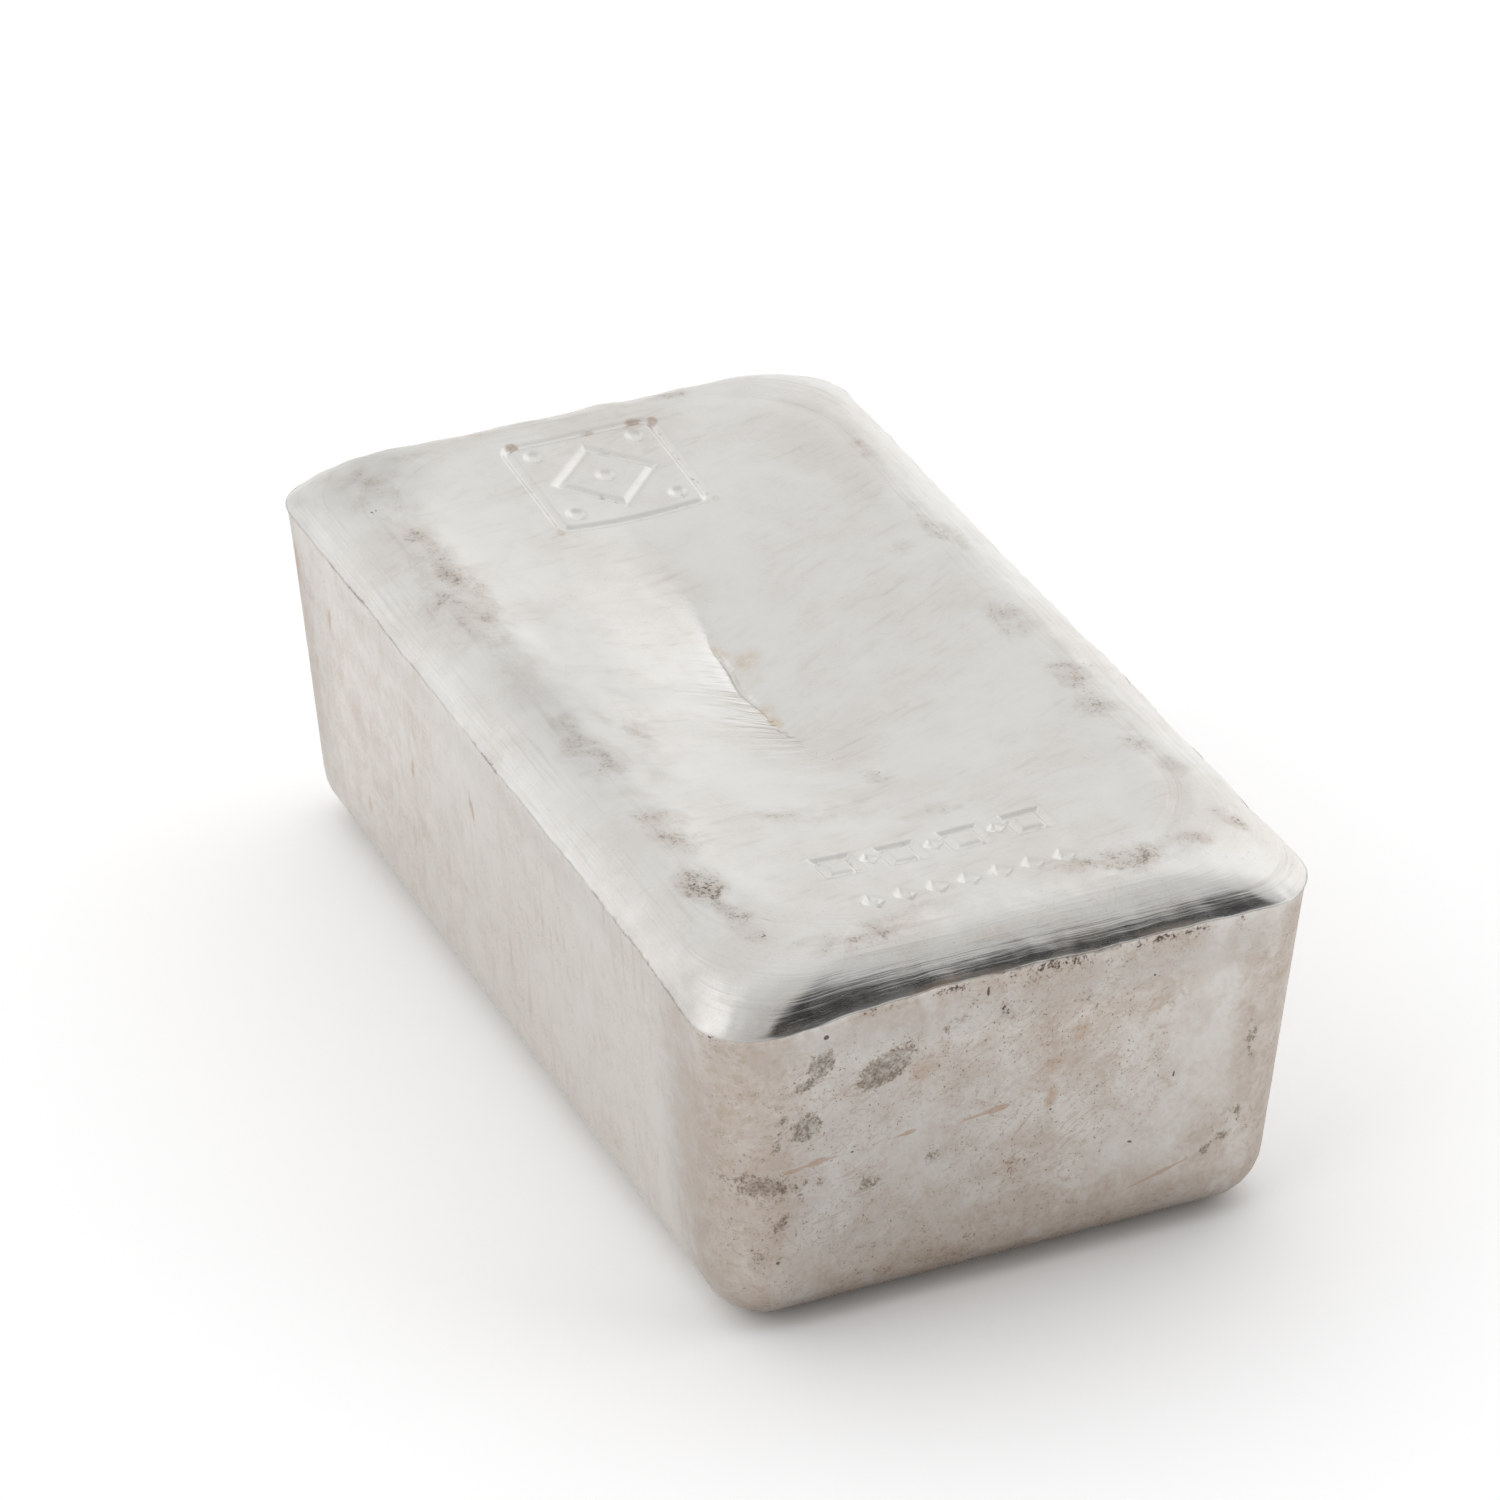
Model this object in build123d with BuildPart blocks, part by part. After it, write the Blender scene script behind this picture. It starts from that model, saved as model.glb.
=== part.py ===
"""Cast silver bar, one solid poured into an open mould and left to shrink.

The long axis is X, the foot stands on Z = 0 and the middle of the foot is the origin.
"""
import math
import os

from build123d import *

# Mouth of the mould, where the drafted wall ends and the rolled rim begins
mouth_length = 81.3
mouth_width = 45.0

# Wall, with the draft that let the bar drop out of its mould and one radius for its corners and its foot
wall_height = 25.95
wall_draft_degrees = 4.1
edge_radius = 4.6

# Rim, which the cooling skin rolled over and which stands proud of the wall by the seam
rim_height = 3.2
rim_width = 4.5
rim_seam_step = 0.2
rim_crest_corner_radius = 10.7

# Hollow that the metal left as it shrank, a shallow pan with a sharp-keeled valley in it
hollow_length = 71.7
hollow_width = 35.4
pan_depth = 0.7
valley_depth = 4.5
keel_offset = 1.3

# Fullness of the rim's section, where 2 is an ellipse and less is flatter
rim_fullness = 1.8
# Steps of the rim's section, from the seam to the crest
rim_step_shares = (0, 0.2, 0.4, 0.6, 0.8, 1)
# Places along half the hollow, and across it from its keel to its rim, where 1 is the rim itself
station_shares = (-1.1, -0.85, -0.6, -0.38, -0.18, 0, 0.18, 0.38, 0.6, 0.85, 1.1)
flank_shares = (0, 0.14, 0.32, 0.6, 0.86, 1.1)
# Half the valley's length over half the hollow's, and how fast its flanks flatten out
valley_length_share = 0.49
valley_flank_power = 1.4
pan_power = 4

rim_plane_height = wall_height + rim_height


def between(low: float, high: float, share: float) -> float:
    """Give the value at a share of the way from one value to another."""
    return low + (high - low) * share


def hollow_height(station: float, flank: float) -> float:
    """Give the height of the hollow's floor at a share of its length and of its width."""
    pan = pan_depth * (1 - abs(station) ** pan_power - flank ** pan_power)
    along = math.exp(-((station / valley_length_share) ** 2))
    valley = valley_depth * along * max(0, 1 - flank) ** valley_flank_power
    return rim_plane_height - pan - valley


def hollow_flank(station: float, side: int) -> list[tuple[float, float]]:
    """Give the points of one flank of the hollow, from its keel out past its rim."""
    reach = hollow_width / 2 + side * keel_offset
    return [(side * share * reach - keel_offset, hollow_height(station, share)) for share in flank_shares]


with BuildPart() as hollow:
    for station in station_shares:
        with BuildSketch(Plane.YZ.offset(station * hollow_length / 2)):
            with BuildLine():
                left = Spline(*reversed(hollow_flank(station, -1)))
                right = Spline(*hollow_flank(station, 1))
                roof = rim_plane_height + rim_height
                Polyline(right @ 1, ((right @ 1).X, roof), ((left @ 0).X, roof), left @ 0)
            make_face()
    loft()

with BuildPart() as ingot:
    # Drafted block, as the mould shapes it from its mouth down
    with BuildSketch(Plane.XY.offset(wall_height)):
        Rectangle(mouth_length, mouth_width)
    extrude(amount=wall_height, dir=(0, 0, -1), taper=wall_draft_degrees)
    mouth_edges = ingot.faces().sort_by(Axis.Z)[-1].edges()
    fillet(ingot.edges() - mouth_edges, edge_radius)
    # Rolled rim, with corners that grow rounder towards its crest
    for share in rim_step_shares:
        angle = share * math.pi / 2
        draw_in = 1 - math.cos(angle) ** (2 / rim_fullness)
        rise = math.sin(angle) ** (2 / rim_fullness)
        inset = between(-rim_seam_step, rim_width, draw_in)
        with BuildSketch(Plane.XY.offset(wall_height + rim_height * rise)):
            corner_radius = between(edge_radius + rim_seam_step, rim_crest_corner_radius, draw_in)
            RectangleRounded(mouth_length - 2 * inset, mouth_width - 2 * inset, corner_radius)
    loft()
    add(hollow.part, mode=Mode.SUBTRACT)

os.makedirs("parts", exist_ok=True)
ingot.part.label = "ingot"
export_step(ingot.part, "parts/ingot.step")
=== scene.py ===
"""Dress the cast silver ingot: its worn metal skin, the pale floor, the light and the camera.

Sizes are in millimetres until a mesh is made; the mesh is in metres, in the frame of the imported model.
"""
import logging
import math
from dataclasses import dataclass
from enum import Enum

import bmesh
import bpy
import numpy as np
from mathutils import Matrix, Vector, noise


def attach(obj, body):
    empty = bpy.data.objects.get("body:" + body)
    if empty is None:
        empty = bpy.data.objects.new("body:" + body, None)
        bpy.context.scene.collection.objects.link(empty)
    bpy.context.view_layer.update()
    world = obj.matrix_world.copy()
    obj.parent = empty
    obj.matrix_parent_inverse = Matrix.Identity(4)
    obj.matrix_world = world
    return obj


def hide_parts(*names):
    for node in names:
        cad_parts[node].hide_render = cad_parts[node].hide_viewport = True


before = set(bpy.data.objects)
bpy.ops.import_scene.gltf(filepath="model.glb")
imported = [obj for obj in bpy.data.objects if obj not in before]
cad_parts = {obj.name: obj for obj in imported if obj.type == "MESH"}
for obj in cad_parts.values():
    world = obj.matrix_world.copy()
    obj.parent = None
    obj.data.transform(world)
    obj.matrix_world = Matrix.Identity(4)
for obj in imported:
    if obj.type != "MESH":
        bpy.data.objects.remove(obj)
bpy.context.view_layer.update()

MM = 0.001
LOG = logging.getLogger("ingot")

Number = float | int

# Numbers of the Mix node's colour inputs and of its colour output
MIX_COLOURS = (6, 7)
MIX_RESULT = 2


class Signal:
    """A shader value that Python operators turn into Math nodes."""

    def __init__(self, board: "Board", socket: bpy.types.NodeSocket) -> None:
        """Keep the board that the value is worked out on, and the socket that gives it."""
        self.board = board
        self.socket = socket

    def math(self, operation: str, *values: "Signal | Number") -> "Signal":
        """Feed values to a Math node.

        Args:
            operation: name of the Math node's operation.
            values: what its sockets take, in order.

        Returns:
            The node's result.
        """
        return self.board.value("ShaderNodeMath", {"operation": operation}, dict(enumerate(values)))

    def __add__(self, other: "Signal | Number") -> "Signal":
        """Add a value."""
        return self.math("ADD", self, other)

    def __radd__(self, other: Number) -> "Signal":
        """Add this value to a number."""
        return self.math("ADD", other, self)

    def __sub__(self, other: "Signal | Number") -> "Signal":
        """Take a value away."""
        return self.math("SUBTRACT", self, other)

    def __rsub__(self, other: Number) -> "Signal":
        """Take this value away from a number."""
        return self.math("SUBTRACT", other, self)

    def __mul__(self, other: "Signal | Number") -> "Signal":
        """Multiply by a value."""
        return self.math("MULTIPLY", self, other)

    def __rmul__(self, other: Number) -> "Signal":
        """Multiply a number by this value."""
        return self.math("MULTIPLY", other, self)

    def top(self, other: "Signal | Number") -> "Signal":
        """Give the larger of this and another value."""
        return self.math("MAXIMUM", self, other)

    def step(self, low: Number, high: Number) -> "Signal":
        """Rise smoothly from 0 at one value to 1 at another."""
        rise = {"From Min": low, "From Max": high, "Value": self}
        return self.board.value("ShaderNodeMapRange", {"interpolation_type": "SMOOTHSTEP"}, rise)

    def band(self, low: Number, middle: Number, high: Number) -> "Signal":
        """Rise smoothly from 0 at the low value to 1 at the middle one, and fall back to 0 at the high one."""
        return self.step(low, middle) * (1 - self.step(middle, high))


class Board:
    """A node tree, with one way to add a node to it."""

    def __init__(self, tree: bpy.types.NodeTree) -> None:
        """Empty the tree and keep it."""
        tree.nodes.clear()
        self.tree = tree

    def add(self, kind: str, settings: dict | None = None, inputs: dict | None = None) -> bpy.types.Node:
        """Add a node.

        Args:
            kind: the node's type.
            settings: its properties, which are set before its inputs.
            inputs: numbers, colours, Signals or sockets, by the name or number of the socket.

        Returns:
            The node.
        """
        node = self.tree.nodes.new(kind)
        for name, setting in (settings or {}).items():
            setattr(node, name, setting)
        for name, given in (inputs or {}).items():
            given = given.socket if isinstance(given, Signal) else given
            if isinstance(given, bpy.types.NodeSocket):
                self.tree.links.new(given, node.inputs[name])
            else:
                node.inputs[name].default_value = given
        return node

    def value(self, kind: str, settings: dict | None = None, inputs: dict | None = None,
              output: str | int = 0) -> Signal:
        """Add a node and give one of its outputs as a Signal.

        Args:
            kind: the node's type.
            settings: its properties.
            inputs: what its sockets take.
            output: name or number of the output.

        Returns:
            The output.
        """
        return Signal(self, self.add(kind, settings, inputs).outputs[output])

    def attribute(self, name: str) -> Signal:
        """Read a number that the mesh keeps at each of its points."""
        return self.value("ShaderNodeAttribute", {"attribute_name": name}, output="Fac")

    def parts(self, place: bpy.types.NodeSocket) -> list[Signal]:
        """Split a place or a heading into its parts along X, Y and Z."""
        return [Signal(self, part) for part in self.add("ShaderNodeSeparateXYZ", None, {0: place}).outputs]

    def light_path(self, *names: str) -> list[Signal]:
        """Read what is known of the traced ray, by the names of the Light Path node's outputs."""
        path = self.add("ShaderNodeLightPath")
        return [Signal(self, path.outputs[name]) for name in names]

    def noise(self, place: bpy.types.NodeSocket, scale: float, detail: float, roughness: float = 0.55,
              distortion: float = 0.0) -> Signal:
        """Give noise of a scale, in turns a metre, with its mean at a half."""
        inputs = {"Vector": place, "Scale": scale, "Detail": detail, "Roughness": roughness}
        return self.value("ShaderNodeTexNoise", None, inputs | {"Distortion": distortion}, "Fac")

    def stretched(self, place: bpy.types.NodeSocket, stretch: tuple,
                  turn: tuple = (0, 0, 0)) -> bpy.types.NodeSocket:
        """Turn a place by angles in degrees, then stretch it."""
        inputs = {"Vector": place, "Rotation": [math.radians(angle) for angle in turn], "Scale": stretch}
        return self.add("ShaderNodeMapping", {"vector_type": "TEXTURE"}, inputs).outputs[0]

    def blend(self, share: Signal | Number, first: object, second: object) -> bpy.types.NodeSocket:
        """Mix two colours.

        Args:
            share: how much of the second colour shows.
            first: colour at share 0.
            second: colour at share 1.

        Returns:
            The mixed colour's socket.
        """
        inputs = {0: share}
        for number, given in zip(MIX_COLOURS, (first, second)):
            inputs[number] = (*given, 1.0) if isinstance(given, tuple) else given
        return self.add("ShaderNodeMix", {"data_type": "RGBA"}, inputs).outputs[MIX_RESULT]


def placed(name: str, data: bpy.types.ID) -> bpy.types.Object:
    """Put an object with a mesh or a camera in the scene.

    Args:
        name: the object's name.
        data: its mesh or camera.

    Returns:
        The object.
    """
    thing = bpy.data.objects.new(name, data)
    bpy.context.scene.collection.objects.link(thing)
    return thing


def colour_of(red: int, green: int, blue: int) -> tuple[float, float, float]:
    """Turn a screen colour into the linear one that shaders use."""
    return tuple((((part / 255) + 0.055) / 1.055) ** 2.4 for part in (red, green, blue))


def smooth(value: np.ndarray, low: float, high: float) -> np.ndarray:
    """Rise smoothly from 0 at one value to 1 at another."""
    share = np.clip((value - low) / (high - low), 0, 1)
    return share * share * (3 - 2 * share)


def bell(away: np.ndarray, width: float) -> np.ndarray:
    """Fall smoothly from 1 in the middle, to about a third at the width."""
    return np.exp(-((away / width) ** 2))


def cloud(points: np.ndarray, size: float, seed: float, octaves: int = 3) -> np.ndarray:
    """Give smooth noise between about -1 and 1.

    Args:
        points: places, in millimetres.
        size: size of the largest lumps, in millimetres.
        seed: shifts the noise, so that two clouds differ.
        octaves: how many finer layers it has.

    Returns:
        A number for each point.
    """
    shift = np.array((seed, -seed, 0.5 * seed))
    return np.array([noise.fractal(place, 1.0, 2.0, octaves) for place in points / size + shift])


def waviness(points: np.ndarray, size: float, seed: float, octaves: int) -> np.ndarray:
    """Give a cloud's noise, of the same size, seed and octaves, between 0 and 1."""
    return 0.5 + 0.5 * np.clip(cloud(points, size, seed, octaves), -1, 1)


class StainKind(Enum):
    """What a stain is; the value names the mesh attribute that holds it."""

    # Dirt, and painted shade along the near end's foot and over its face
    GRIME = "grime"
    BLOTCH = "blotch"
    SPECK = "speck"
    # Beige tint, partly the metal's own and partly painted shade on the near end, the feet and the far half of the
    # left wall
    PATINA = "patina"
    RUST = "rust"
    GOLD = "gold"
    # Grey painted shade on the near end and the left wall, and greyer patches on the top
    TARNISH = "tarnish"


class Side(Enum):
    """A side of the bar, with the way it faces and the two axes that places on it are given along."""

    TOP = ((0, 0, 1), (0, 1))
    NEAR_END = ((1, 0, 0), (1, 2))
    FAR_END = ((-1, 0, 0), (1, 2))
    LEFT = ((0, -1, 0), (0, 2))
    RIGHT = ((0, 1, 0), (0, 2))


@dataclass(frozen=True)
class Stain:
    """One stain, as an ellipse on a side of the bar."""

    kind: StainKind
    side: Side
    place: tuple[float, float]
    size: tuple[float, float]
    turn_degrees: float = 0.0
    strength: float = 1.0
    # Distance at which the stain ends, over its size, and how far the skin has to face the stain's side
    fade: float = 1.5
    facing_band: tuple[float, float] = (0.25, 0.6)

    def field(self, points: np.ndarray, normals: np.ndarray) -> np.ndarray:
        """Give the stain's strength at each point, which falls to half at the ellipse.

        Args:
            points: places on the bar.
            normals: the way the skin faces there.

        Returns:
            A number for each point.
        """
        facing, axes = self.side.value
        turn = math.radians(self.turn_degrees)
        first, second = (points[:, axis] - middle for axis, middle in zip(axes, self.place))
        along = (first * math.cos(turn) + second * math.sin(turn)) / self.size[0]
        across = (second * math.cos(turn) - first * math.sin(turn)) / self.size[1]
        share = np.clip(self.fade - np.hypot(along, across), 0, 1)
        return self.strength * share * smooth(normals @ np.array(facing), *self.facing_band)


def stains_of(kind: StainKind, side: Side, *rows: tuple) -> list[Stain]:
    """Make the stains of one kind on one side.

    Args:
        kind: what they are.
        side: the side they lie on.
        rows: place, half sizes, turn in degrees and strength of each.

    Returns:
        The stains.
    """
    return [Stain(kind, side, row[:2], row[2:4], *row[4:]) for row in rows]


@dataclass(frozen=True)
class FineMark:
    """A slim mark on the near end, finer than the mesh: an ellipsoid that the skin cuts through."""

    kind: StainKind
    place: tuple[float, float]
    size: tuple[float, float]
    turn_degrees: float = 0.0
    strength: float = 1.0
    # Half its size along the bar, where the end's skin lies, and the distances, over its size, where it fades
    depth: float = 5.0
    skin_x: float = 39.7
    edge: tuple[float, float] = (0.45, 1.15)

    def field(self, board: Board, place: bpy.types.NodeSocket, fray: Signal) -> Signal:
        """Give the mark's strength over the skin.

        Args:
            board: the tree the nodes go on.
            place: the place in the bar's frame.
            fray: what is added to the distance, to fray the mark's edge.

        Returns:
            The strength, 0 outside the mark.
        """
        inputs = {
            "Vector": place,
            "Location": [part * MM for part in (self.skin_x, *self.place)],
            "Rotation": (math.radians(self.turn_degrees), 0.0, 0.0),
            "Scale": [part * MM for part in (self.depth, *self.size)],
        }
        local = board.add("ShaderNodeMapping", {"vector_type": "TEXTURE"}, inputs).outputs[0]
        away = board.value("ShaderNodeVectorMath", {"operation": "LENGTH"}, {0: local}, "Value")
        return self.strength * (1 - (away + fray).step(*self.edge))


def marks_of(kind: StainKind, *rows: tuple) -> list[FineMark]:
    """Make the fine marks of one kind, from the place, half sizes, turn and strength of each."""
    return [FineMark(kind, row[:2], row[2:4], *row[4:]) for row in rows]


FINE_MARKS = [
    *marks_of(
        StainKind.RUST,
        (-15.2, 13.9, 2.4, 0.15, 5, 0.8), (-16.5, 13.75, 1.0, 0.22, 6), (-14.8, 13.95, 0.85, 0.34, 8),
        (-8.5, 14.46, 1.1, 0.12, 7, 0.8), (-8.1, 14.52, 0.65, 0.24, 7), (-2.9, 14.47, 1.9, 0.16, 6, 0.8),
        (-1.6, 14.6, 1.2, 0.32, 6), (-12.9, 16.2, 2.2, 0.5, -70, 0.3), (10.9, 5.5, 3.0, 0.17, 16, 0.9),
        (11.2, 5.6, 1.2, 0.24, 16), (0.4, 12.75, 1.8, 0.16, 53, 0.6), (9.8, 15.05, 2.6, 0.08, 25, 0.6),
    ),
    *marks_of(
        StainKind.SPECK,
        (-14.5, 24.2, 0.26, 0.24), (-12.2, 14.1, 0.14, 0.1), (-2.75, 24.6, 0.12, 0.5), (11.6, 13.8, 0.09, 0.3, -10),
        (8.6, 8.9, 0.24, 0.13, -20), (2.4, 13.4, 0.15, 0.12), (9.6, 22.6, 0.14, 0.12), (-17.3, 6.2, 0.2, 0.16),
    ),
]

STAINS = [
    *stains_of(
        StainKind.GRIME, Side.TOP,
        (-18.8, -16.8, 3.0, 1.7, 0, 0.62), (-24.3, -17.3, 1.8, 1.3, 0, 0.5), (-16.5, -17.6, 13.0, 2.8, -3, 0.4),
        (7.8, -17.2, 5.0, 2.2, 0, 0.42), (19.4, -16.4, 3.4, 1.9, 0, 0.56), (27.0, -17.4, 2.6, 1.5, 5, 0.7),
        (31.5, -16.9, 3.4, 1.2, 12, 0.46), (36.4, -8.4, 1.2, 5.0, 10, 0.5), (35.6, -13.0, 1.0, 2.4, 0, 0.4),
        (35.5, 10.4, 1.4, 5.8, -8, 0.56), (34.9, 14.2, 1.2, 2.2, 0, 0.56), (33.1, 18.6, 1.8, 0.9, 20, 0.5),
        (-9.4, 17.6, 2.6, 1.0, 8, 0.62), (-13.0, 17.5, 1.6, 0.9, 0, 0.5), (-9.6, 14.5, 1.3, 0.9, 0, 0.4),
        (-22.6, 17.8, 3.0, 1.0, 0, 0.4), (3.9, 16.6, 3.0, 1.5, 0, 0.44), (11.7, 17.0, 3.0, 1.4, 0, 0.5),
        (16.9, 16.8, 2.6, 1.5, 0, 0.5), (21.5, 17.2, 2.2, 1.1, 0, 0.46), (26.8, 18.0, 2.4, 1.0, 0, 0.4),
        (-36.6, 7.6, 0.7, 2.4, 0, 0.6), (-36.9, -8.6, 0.6, 2.6, 0, 0.4), (-37.3, -2.1, 0.6, 3.0, 0, 0.36),
        (-35.3, -12.4, 0.9, 2.6, -15, 0.4), (15.9, 1.0, 2.2, 1.6, 0, 0.36), (20.0, -6.4, 1.6, 5.0, -8, 0.36),
        (-33.0, -17.0, 4.6, 2.4, 30, 0.34), (-31.0, -19.0, 2.0, 1.2, 0, 0.3), (23.0, 2.1, 1.0, 3.4, -6, 0.38),
        (16.3, 7.6, 1.0, 1.4, 0, 0.36), (6.0, -13.0, 7.0, 2.4, -8, 0.26),
    ),
    # On the near end the band along the foot and the broad faint one over the face are painted shade; the rest is
    # dirt along the seam
    *stains_of(
        StainKind.GRIME, Side.NEAR_END,
        (2.0, 2.2, 20.0, 2.2, 0, 0.5), (1.2, 25.1, 3.6, 0.7, 0, 0.66), (10.6, 25.1, 3.4, 0.6, 0, 0.6),
        (-5.4, 25.2, 2.4, 0.6, 0, 0.5), (-11.0, 25.2, 2.6, 0.5, 0, 0.4), (-3.0, 14.0, 18.0, 8.0, 0, 0.16),
    ),
    # Painted shade over the near end: in a strip under the lip, over its left and right halves and along the foot
    *stains_of(
        StainKind.TARNISH, Side.NEAR_END,
        (0.0, 23.6, 24.0, 2.2, 0, 1.0), (-9.0, 12.0, 13.0, 13.0, 0, 0.75), (10.0, 12.0, 12.0, 12.0, 0, 0.4),
        (0.0, 2.6, 24.0, 2.4, 0, 0.8),
    ),
    # Painted shade on the left wall: at both of its ends and in a strip under the lip
    *stains_of(
        StainKind.TARNISH, Side.LEFT,
        (-36.0, 13.0, 4.4, 14.0, 0, 0.8), (34.4, 14.0, 4.0, 15.0, 0, 0.7), (0.0, 24.0, 42.0, 1.2, 0, 0.3),
    ),
    # Greyer, darker patches on the top along its left rim
    *stains_of(
        StainKind.TARNISH, Side.TOP,
        (3.0, -16.0, 11.0, 3.0, 0, 0.6), (-6.0, -12.0, 7.0, 3.0, 0, 0.4), (-36.0, -17.0, 6.0, 4.0, 0, 0.55),
    ),
    *stains_of(
        StainKind.SPECK, Side.TOP,
        (-29.1, -18.6, 0.35, 0.3, 0, 0.7), (27.6, -17.3, 0.6, 0.5, 0, 0.55), (26.6, -17.8, 0.5, 0.4, 0, 0.5),
        (28.6, -17.0, 0.4, 0.5, 0, 0.5), (34.2, -16.2, 0.6, 0.2, 20, 0.6), (9.5, -0.9, 0.4, 0.3, 0, 0.55),
        (11.4, -0.6, 0.3, 0.24, 0, 0.5), (15.6, 0.9, 0.4, 0.3, 0, 0.5), (11.0, 19.0, 0.16, 0.8, -8, 0.6),
        (33.4, 19.0, 0.5, 0.2, 15, 0.6),
    ),
    *stains_of(
        StainKind.RUST, Side.TOP,
        (-34.1, -5.8, 0.5, 0.7, 0, 0.62), (-34.0, 3.9, 0.5, 0.7, 0, 0.66), (-33.9, 0.2, 0.4, 0.8, 0, 0.56),
        (-33.6, 5.3, 0.7, 0.5, 0, 0.6), (-22.2, -6.9, 0.6, 0.5, 0, 0.5), (-22.3, 5.4, 0.6, 0.5, 0, 0.45),
    ),
    *stains_of(
        StainKind.GOLD, Side.TOP,
        (-7.2, -1.0, 0.9, 0.5, 20, 0.9), (-5.2, 0.3, 1.2, 1.1, 0, 1.0), (-3.4, -0.5, 1.6, 0.8, 30, 0.6),
        (0.8, -0.9, 1.0, 0.8, 0, 0.9), (2.4, -1.0, 1.2, 0.5, 0, 1.0), (12.8, 0.4, 1.4, 2.2, 0, 0.5),
        (-8.0, -2.0, 2.6, 0.5, 0, 0.5),
    ),
    *stains_of(
        StainKind.GOLD, Side.NEAR_END,
        (-1.6, 28.0, 2.0, 0.6, 0, 0.7), (2.0, 28.4, 1.2, 0.4, 0, 0.5), (-16.4, 27.4, 1.6, 0.6, 0, 0.6),
    ),
    *stains_of(
        StainKind.BLOTCH, Side.NEAR_END,
        (-14.7, 22.1, 0.95, 1.1), (-15.9, 20.7, 0.9, 0.6, 35, 0.9), (-10.0, 20.4, 2.2, 1.15, 28),
        (-15.7, 17.0, 1.1, 1.1),
        (-17.4, 18.3, 0.5, 0.6, 60, 0.7), (-6.4, 12.0, 0.9, 1.2, -20, 0.55), (-18.4, 12.6, 1.9, 1.5, 0, 0.6),
        (-20.3, 13.2, 0.9, 0.9, 0, 0.5), (-15.6, 12.0, 1.4, 0.8, 0, 0.5), (-11.0, 11.0, 1.4, 0.7, 15, 0.5),
        (-5.0, 22.7, 1.2, 0.5, 15, 0.62), (-1.4, 22.6, 0.7, 0.4, 15, 0.7), (4.9, 22.5, 0.5, 0.4, 0, 1.0),
        (-3.1, 4.6, 1.3, 0.7, 12, 0.55), (15.7, 7.4, 0.8, 0.3, 30, 0.9), (14.5, 6.7, 0.5, 0.3, 20, 0.8),
        (16.8, 9.0, 0.35, 0.8, 0, 0.7), (4.4, 4.9, 0.9, 0.4, 15, 0.6), (-18.6, 6.6, 0.35, 0.5, 0, 0.9),
        (-17.6, 16.2, 0.5, 1.6, 0, 0.5), (-17.2, 9.4, 1.2, 1.0, 0, 0.48), (17.4, 15.4, 0.5, 1.9, 0, 0.5),
        (3.9, 8.8, 0.5, 0.3, 10, 0.8), (5.1, 9.5, 0.3, 0.25, 0, 0.7), (0.0, 9.8, 1.2, 0.9, 0, 0.42),
    ),
    *stains_of(
        StainKind.SPECK, Side.NEAR_END,
        (-22.0, 25.0, 0.5, 0.6, 0, 0.66), (-5.4, 25.5, 1.6, 0.4, 0, 0.6), (-11.4, 25.5, 1.4, 0.36, 0, 0.46),
        (-0.9, 25.4, 0.6, 0.5, 0, 0.6), (1.6, 25.5, 1.3, 0.5, 0, 0.64), (3.6, 25.4, 1.1, 0.5, 0, 0.64),
        (8.2, 25.5, 0.6, 0.4, 0, 0.54), (10.2, 25.5, 1.2, 0.4, 0, 0.62), (12.4, 25.4, 1.3, 0.4, 0, 0.62),
        (15.8, 25.4, 0.6, 0.4, 0, 0.5), (-1.5, 22.9, 0.7, 0.4, 20, 0.56),
    ),
    *stains_of(
        StainKind.RUST, Side.NEAR_END,
        (-6.5, 26.2, 3.0, 0.3, 4, 0.7), (10.0, 26.2, 4.4, 0.25, 0, 0.6), (-17.2, 25.7, 2.4, 0.3, 8, 0.55),
        (-2.4, 26.2, 2.2, 0.25, 0, 0.6),
        (2.4, 14.4, 0.6, 1.2, -10, 0.7), (2.4, 17.2, 1.3, 1.0, 30, 0.62), (4.4, 19.6, 0.9, 1.1, -30, 0.6),
        (10.0, 20.2, 1.4, 0.7, 10, 0.55), (5.2, 12.0, 0.5, 0.5, 0, 0.6), (-7.6, 19.4, 1.6, 1.0, -10, 0.6),
        (10.4, 18.0, 1.6, 0.3, 14, 0.55), (-0.4, 9.6, 1.4, 1.0, 0, 0.5), (13.6, 11.2, 0.5, 1.0, -30, 0.5),
    ),
    # On the near end the broad faint tint over the face and the band along the foot are painted shade; the strip
    # under the lip makes it darker there
    *stains_of(
        StainKind.PATINA, Side.NEAR_END,
        (-18.4, 14.0, 2.6, 14.0, 0, 0.9), (17.6, 14.0, 1.8, 12.0, 0, 0.7), (0.0, 24.6, 22.0, 1.6, 0, 0.5),
        (0.0, 4.0, 22.0, 3.4, 0, 0.8), (3.2, 19.0, 3.4, 4.4, 0, 0.7), (-6.0, 19.0, 3.0, 3.4, 0, 0.5),
        (9.0, 21.0, 4.0, 2.0, 0, 0.7), (1.0, 10.0, 3.4, 3.0, 0, 0.55), (6.4, 15.4, 1.6, 3.0, 0, 0.55),
        (-9.0, 8.0, 6.0, 2.6, 0, 0.5), (14.6, 6.6, 3.0, 2.6, 0, 0.7), (0.0, 12.0, 20.0, 14.0, 0, 0.26),
    ),
    *stains_of(
        StainKind.RUST, Side.LEFT,
        (-29.9, 20.3, 0.35, 1.2, -12, 0.7), (-14.5, 16.0, 0.4, 1.0, -12, 0.7), (-2.6, 19.4, 0.35, 1.5, 12, 0.8),
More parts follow.
